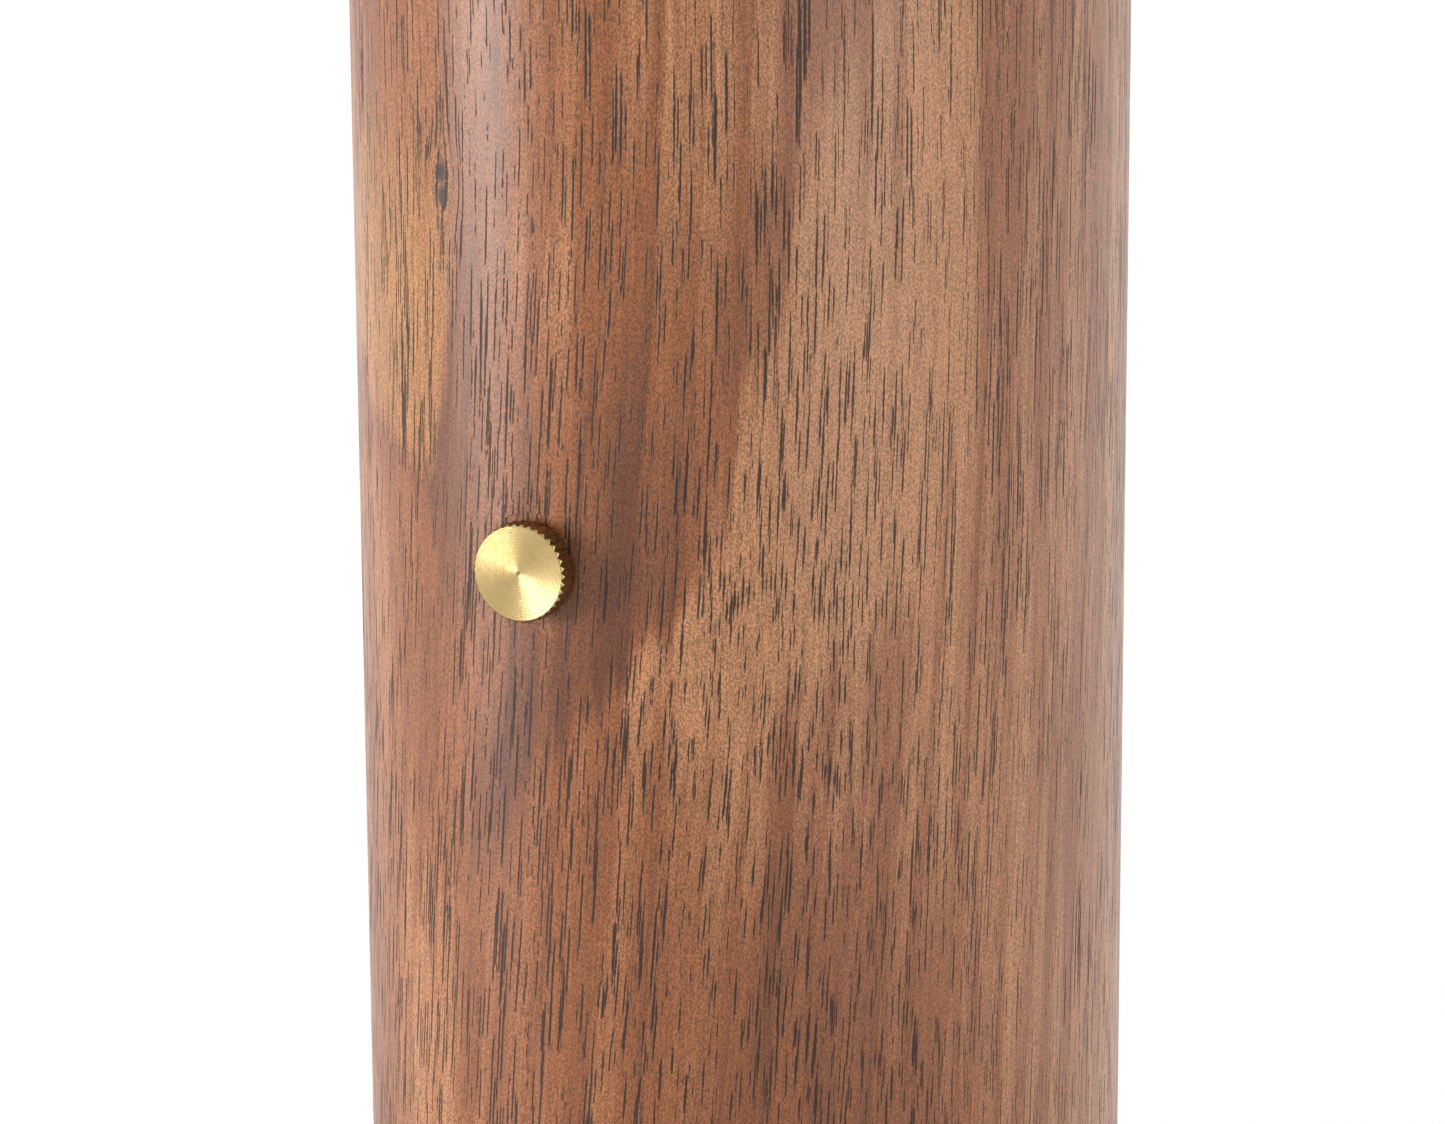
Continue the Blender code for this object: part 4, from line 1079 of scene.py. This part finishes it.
# %% Knots
KNOTS = [(-10.2 * MM, -52.1 * MM, THUMB_Z + 38.5 * MM), (-10.0 * MM, -52.1 * MM, THUMB_Z + 36.2 * MM)]
KNOT_RADIUS = 1.0 * MM
KNOT_LENGTH = (1.0, 1.0, 0.6)
KNOT_CORE = 0.35
KNOT_REACH = 3.5 * MM
KNOT_PUSH = (0.3, 0.3, 0.0)
PLUME_RISE = 9.0 * MM
PLUME_LENGTH = (1.0, 1.0, 0.25)
PLUME_CORE, PLUME_REACH, PLUME_SHARE = 0.8 * MM, 3.5 * MM, 0.6


def knot_field(tree, place, knot, reach):
    """Offset from a knot, and 1 there falling to 0 at the reach; lengths along the grain count less."""
    offset = vec(tree, "SUBTRACT", place, knot)
    distance = vec(tree, "LENGTH", vec(tree, "MULTIPLY", offset, KNOT_LENGTH))
    return offset, soft(tree, distance, KNOT_CORE * reach, reach, 1.0, 0.0)


def pushed_aside(tree, grain, place):
    """The grain shifted away from each knot, by a share of the offset that fades with the distance."""
    for knot in KNOTS:
        offset, near = knot_field(tree, place, knot, KNOT_REACH)
        push = vec(tree, "MULTIPLY", offset, KNOT_PUSH)
        grain = vec(tree, "SUBTRACT", grain, vec(tree, "MULTIPLY", push, triple(tree, near)))
    return grain


def knot_plume(tree, loose):
    """A long smoky spot over the first knot."""
    x, y, z = KNOTS[0]
    offset = vec(tree, "SUBTRACT", loose, (x, y, z + PLUME_RISE))
    distance = vec(tree, "LENGTH", vec(tree, "MULTIPLY", offset, PLUME_LENGTH))
    return soft(tree, distance, PLUME_CORE, PLUME_REACH, PLUME_SHARE, 0.0)


# %% The pillar's figure
EDGE_BENDS, EDGE_BEND_REACH = (60.0, 60.0, 24.0), (0.005, 0.0, 0.012)
EDGE_RAGS, EDGE_RAG_REACH = (900.0, 900.0, 40.0), (0.0, 0.0, 0.012)
FRONT_START, FRONT_FULL = -18.0 * MM, -34.0 * MM
TWIST = math.radians(10.0)
TWIST_LOW, TWIST_HIGH = THUMB_Z - 120.0 * MM, THUMB_Z + 50.0 * MM


def pillar_figure(tree, place):
    """The grain, twisted and pushed round the knots, and shares for the gold, pale, smoky and knot marks.
    The pale one is part pale wood and part painted sheen, and the smoky one is in part painted shade.
    """
    bent = wander(tree, place, EDGE_BENDS, EDGE_BEND_REACH)
    loose = wander(tree, bent, EDGE_RAGS, EDGE_RAG_REACH)
    x, y, z = axes_of(tree, loose)
    gold, vee = golden_field(tree, x, z)
    band, field = dark_band(tree, x, z)
    # The smoky mark gathers the V, band, foot, crown and plume; at the crown it is in part painted shade.
    dark = most(tree, vee, band, dark_foot(tree, x, z), crown_smoke_and_shade(tree, x, z), knot_plume(tree, loose))
    front = soft(tree, y, FRONT_START, FRONT_FULL)
    shown = {"gold": gold, "pale": field, "smoke_and_shade": dark}
    marks = {key: calc(tree, "MULTIPLY", value, front) for key, value in shown.items()}
    marks["knot"] = most(tree, *[knot_field(tree, place, knot, KNOT_RADIUS)[1] for knot in KNOTS])
    twist = soft(tree, axes_of(tree, place)[2], TWIST_LOW, TWIST_HIGH, TWIST, 0.0)
    twisted = add(tree, "ShaderNodeVectorRotate", {"Vector": place, "Angle": twist}, rotation_type="Z_AXIS")
    marks["grain"] = pushed_aside(tree, twisted.outputs[0], place)
    return marks


# %% Three cuts of walnut
PILLAR_HEART, PILLAR_LEAN = (-47.0 * MM, -123.0 * MM), -0.03
JAW_HEART, JAW_LEAN = (30.0 * MM, -140.0 * MM), 0.04
BASE_HEART, BASE_LEAN = (12.0 * MM, -60.0 * MM), 0.05
walnut_pillar = walnut("walnut_of_pillar", PILLAR_HEART, PILLAR_LEAN, "Z", pillar_figure)
walnut_jaw = walnut("walnut_of_jaw", JAW_HEART, JAW_LEAN)
walnut_base = walnut("walnut_of_base", BASE_HEART, BASE_LEAN, "X")
print(f"{len(KNOTS)} knots and a V on {walnut_pillar.name}, {len(walnut_pillar.node_tree.nodes)} nodes")

# %% [markdown]
# ## Brass, bronze and steel
# Metal is never one even tone: handling leaves warm brown films and fine scratches. A slow noise tints the
# metal and a fine one varies its gloss. The turned pieces are the brightest, since their shape already
# carries the tool marks.

# %% Metals
CLOUDS = (160.0, 160.0, 160.0)
SPECKS = (2200.0, 2200.0, 2200.0)
ROUND_MARKS = (5000.0, 5000.0, 5000.0)
LONG_MARKS = (400.0, 5000.0, 5000.0)


def metal(name, bright, film, gloss, spread, mark_scale, mark_depth):
    """Metal whose film and gloss vary by noise, with fine scratches as a bump."""
    material, tree, shader, place = finish_tree(name)
    cloud = noise(tree, place, CLOUDS, 3.0, 0.6)
    fine = noise(tree, place, SPECKS)
    scratch = noise(tree, place, mark_scale)
    share = total(tree, soft(tree, cloud, 0.35, 0.75, 0.0, 0.6), soft(tree, fine, 0.4, 0.8, 0.0, 0.35))
    colour = mix(tree, share, bright, film)
    broad = soft(tree, cloud, 0.3, 0.7, gloss - spread, gloss + spread)
    rough = total(tree, broad, soft(tree, fine, 0.3, 0.7, 0.0, 0.06))
    wire(tree, shader, colour, rough, scratch, 0.35, mark_depth)
    shader.inputs["Metallic"].default_value = 1.0
    return material


TURNED_DEPTH = 0.012 * MM
PLAIN_DEPTH = 0.01 * MM
FACE_BRASS, KNOB_BRASS, OLD_BRASS = paint(180, 158, 110), paint(178, 152, 102), paint(148, 120, 74)
PLAIN_BRASS, BROWN_BRASS = paint(214, 178, 112), paint(138, 98, 52)
NEW_BRONZE, OLD_BRONZE = paint(196, 142, 92), paint(112, 74, 44)
NEW_STEEL, OLD_STEEL = paint(198, 198, 196), paint(122, 118, 112)
brass_turned = metal("turned_brass", FACE_BRASS, OLD_BRASS, 0.2, 0.04, ROUND_MARKS, TURNED_DEPTH)
brass_knob = metal("knob_brass", KNOB_BRASS, OLD_BRASS, 0.36, 0.05, ROUND_MARKS, TURNED_DEPTH)
brass_plain = metal("plain_brass", PLAIN_BRASS, BROWN_BRASS, 0.34, 0.08, LONG_MARKS, PLAIN_DEPTH)
bronze = metal("bearing_bronze", NEW_BRONZE, OLD_BRONZE, 0.36, 0.08, ROUND_MARKS, PLAIN_DEPTH)
steel = metal("bright_steel", NEW_STEEL, OLD_STEEL, 0.30, 0.07, LONG_MARKS, PLAIN_DEPTH)
print("metals:", brass_turned.name, brass_knob.name, brass_plain.name, bronze.name, steel.name)

# %% [markdown]
# ## Leather
# The linings are vegetable-tanned leather. Its grain side is a net of small pebbles with creases between
# them, which a Voronoi texture gives as the distance to the cell's edge, and painted shade darkens the
# creases. Slow noise makes it blotchy, as hand-dyed leather is.

# %% Leather
CREASE_SHADE_BROWN = paint(60, 34, 20)
CREASE_EDGE = 0.22
CREASE_SHADE_DARKNESS = 0.5
PEBBLE_BENDS, PEBBLE_BEND_REACH = (500.0, 500.0, 500.0), (0.0006, 0.0006, 0.0006)
BLOTCHES = (70.0, 70.0, 70.0)
HAIRS = (3500.0, 3500.0, 3500.0)
HAIR_HEIGHT = 0.25
LEATHER_RELIEF = 0.12 * MM
LIP_PEBBLES, PAD_PEBBLES = 900.0, 700.0


def leather(name, pale, deep, pebble):
    """Pebbled leather: creases between Voronoi cells, blotches from a slow noise."""
    material, tree, shader, place = finish_tree(name)
    loose = wander(tree, place, PEBBLE_BENDS, PEBBLE_BEND_REACH)
    cells = vec(tree, "MULTIPLY", loose, (pebble, pebble, pebble))
    voronoi = add(tree, "ShaderNodeTexVoronoi", {"Vector": cells, "Scale": 1.0}, feature="DISTANCE_TO_EDGE")
    crease = voronoi.outputs["Distance"]
    blotch = noise(tree, place, BLOTCHES, 3.0, 0.6)
    hair = noise(tree, place, HAIRS)
    raised = soft(tree, crease, 0.0, CREASE_EDGE)
    colour = mix(tree, soft(tree, blotch, 0.3, 0.7), pale, deep)
    # Painted shade: the creases are darkened towards a deep brown.
    crease_shade = calc(tree, "MULTIPLY", calc(tree, "SUBTRACT", 1.0, raised), CREASE_SHADE_DARKNESS)
    colour = mix(tree, crease_shade, colour, CREASE_SHADE_BROWN)
    rough = soft(tree, blotch, 0.3, 0.7, 0.5, 0.64)
    relief = total(tree, raised, calc(tree, "MULTIPLY", hair, HAIR_HEIGHT))
    wire(tree, shader, colour, rough, relief, 0.5, LEATHER_RELIEF)
    return material


leather_lip = leather("tan_leather_of_lips", paint(216, 174, 128), paint(190, 140, 92), LIP_PEBBLES)
leather_pad = leather("brown_leather_of_pad", paint(128, 84, 54), paint(92, 58, 38), PAD_PEBBLES)
print("leathers:", leather_lip.name, leather_pad.name)

# %% [markdown]
# ## Dressing every piece
# New pieces take the finish of their slot, apart from the clamp knob, which years of hands have dulled.
# Solids that stay in view, such as the post, the bushes and the washers, get theirs in their own material
# slots.

# %% Put the finishes on
FINISHES = {"walnut_pillar": walnut_pillar, "walnut_jaw": walnut_jaw, "walnut_base": walnut_base,
            "leather_pad": leather_pad, "leather_lip": leather_lip, "brass_turned": brass_turned,
            "brass_plain": brass_plain, "bronze": bronze, "steel": steel}
OWN_FINISH = {"brass_clamp_knob": brass_knob}
CAD_FINISH = {"pivot_post": steel, "thrust_washer": bronze, "lower_bush": bronze, "upper_bush": bronze,
              "hinge_bush_left": bronze, "hinge_bush_right": bronze, "thumbscrew_insert": brass_plain,
              "thumbscrew_shoe": bronze, "hinge_knuckle": brass_plain, "hinge_pin": steel,
              "barrel_nut": brass_plain, "clamp_washer": brass_plain, "spring_cup_front": brass_plain,
              "spring_cup_rear": brass_plain}
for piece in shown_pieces():
    if piece.name in nodes:
        finish = CAD_FINISH.get(piece.name, steel)
        for material_slot in piece.material_slots:
            material_slot.material = finish
    else:
        finish = OWN_FINISH.get(piece.name, FINISHES[piece["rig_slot"]])
        piece.data.materials.clear()
        piece.data.materials.append(finish)
    print(f"{piece.name}: {finish.name}")

# %% [markdown]
# ## Floor, light and camera
# The picture was taken against plain white with one large soft light at the left and a weaker one at the
# right, which leaves a darker strip down the middle of the pillar. The floor shines white only for rays
# that come straight from the camera or off metal, on top of the light it catches, so it looks white and
# still takes the object's shadow.

# %% Floor and background
FLOOR_SIZE = 6.0
floor_mesh = bpy.data.meshes.new("floor")
half_floor = FLOOR_SIZE / 2.0
corners = [(-1, -1), (1, -1), (1, 1), (-1, 1)]
floor_mesh.from_pydata([(x * half_floor, y * half_floor, 0) for x, y in corners], [], [(0, 1, 2, 3)])
floor = bpy.data.objects.new("floor", floor_mesh)
bpy.context.scene.collection.objects.link(floor)
WHITE = (1.0, 1.0, 1.0, 1.0)
FLOOR_LIFT = 0.72
FLOOR_ROUGHNESS = 0.9
NEAR_FLOOR, FAR_FLOOR = 0.3, 0.8
NEAR_SHADE_GREY, FAR_GREY = 0.5, 0.86


def seen_rays(tree):
    """1 for rays from the camera, off glossy surfaces or through glass, and 0 for all others."""
    rays = tree.nodes.new("ShaderNodeLightPath").outputs
    return most(tree, rays["Is Camera Ray"], rays["Is Glossy Ray"], rays["Is Transmission Ray"])


floor_finish, floor_tree, floor_shader, floor_place = finish_tree("pale_floor")
# Painted shade: the floor is a darker grey near the object, which deepens its shadow there.
grey = soft(floor_tree, vec(floor_tree, "LENGTH", floor_place), NEAR_FLOOR, FAR_FLOOR, NEAR_SHADE_GREY, FAR_GREY)
floor_glow = calc(floor_tree, "MULTIPLY", seen_rays(floor_tree), FLOOR_LIFT)
floor_tree.links.new(triple(floor_tree, grey), floor_shader.inputs["Base Color"])
floor_tree.links.new(floor_glow, floor_shader.inputs["Emission Strength"])
floor_shader.inputs["Emission Color"].default_value = WHITE
floor_shader.inputs["Roughness"].default_value = FLOOR_ROUGHNESS
floor_mesh.materials.append(floor_finish)
print(f"floor {FLOOR_SIZE:.0f} m wide")

# %% Studio background
AMBIENT = 0.35
world = bpy.data.worlds.new("studio")
bpy.context.scene.world = world
world.use_nodes = True
sky = world.node_tree.nodes["Background"]
sky.inputs["Color"].default_value = WHITE
sky_tree = world.node_tree
lift = calc(sky_tree, "MULTIPLY", seen_rays(sky_tree), 1.0 - AMBIENT)
sky_tree.links.new(calc(sky_tree, "ADD", lift, AMBIENT), sky.inputs["Strength"])
print(f"background white to the camera, {AMBIENT} as light")

# %% [markdown]
# ### Two soft lights
# A light's direction is given as for the camera: azimuth round the object and elevation above the floor.

# %% Lights
def direction(azimuth, elevation):
    """Unit vector from the object towards a place: (sin a cos e, -cos a cos e, sin e)."""
    a, e = math.radians(azimuth), math.radians(elevation)
    return Vector((math.sin(a) * math.cos(e), -math.cos(a) * math.cos(e), math.sin(e)))


LIT_POINT = Vector((0.0, 0.0, THUMB_Z))


def softbox(name, azimuth, elevation, distance, width, height, power):
    """A rectangular light that faces the lit point."""
    data = bpy.data.lights.new(name, "AREA")
    data.shape = "RECTANGLE"
    data.size, data.size_y = width, height
    data.energy = power
    light = bpy.data.objects.new(name, data)
    away = direction(azimuth, elevation)
    light.location = LIT_POINT + away * distance
    light.rotation_euler = away.to_track_quat("Z", "Y").to_euler()
    bpy.context.scene.collection.objects.link(light)
    print(f"{name}: {power} W at azimuth {azimuth}, elevation {elevation}, {distance} m off")


softbox("key_light", -44.0, 5.0, 1.3, 0.6, 0.6, 12.8)
softbox("side_light", 87.0, 10.0, 1.4, 0.9, 0.9, 6.6)

# %% [markdown]
# ### Camera
# The place was fitted to the photograph: the pillar's two edges fix the distance, the direction and the
# lens, and the ellipse of the knurled head fixes how far the view looks down on it.

# %% Camera
VIEW_AZIMUTH, VIEW_ELEVATION, VIEW_ROLL = 24.2422, 11.8859, -0.3166
VIEW_DISTANCE = 514.656 * MM
VIEW_SIDE, VIEW_DROP = -3.233 * MM, -9.807 * MM
SENSOR_WIDTH = 36.0
NEAR_CLIP = 10.0 * MM
FOCAL_PIXELS = 4716.48
PHOTO_WIDTH_PIXELS = 1445.0
camera_data = bpy.data.cameras.new("camera")
camera_data.sensor_width = SENSOR_WIDTH
camera_data.lens = FOCAL_PIXELS / PHOTO_WIDTH_PIXELS * SENSOR_WIDTH
camera_data.clip_start = NEAR_CLIP
camera = bpy.data.objects.new("camera", camera_data)
bpy.context.scene.collection.objects.link(camera)
bpy.context.scene.camera = camera
back = direction(VIEW_AZIMUTH, VIEW_ELEVATION)
side = Vector((math.cos(math.radians(VIEW_AZIMUTH)), math.sin(math.radians(VIEW_AZIMUTH)), 0.0))
camera.location = LIT_POINT + side * VIEW_SIDE + Vector((0.0, 0.0, VIEW_DROP)) + back * VIEW_DISTANCE
facing = back.to_track_quat("Z", "Y").to_matrix() @ Matrix.Rotation(math.radians(VIEW_ROLL), 3, "Z")
camera.rotation_euler = facing.to_euler()
bpy.context.scene.view_settings.view_transform = "Standard"
print("camera at", [round(v, 4) for v in camera.location])
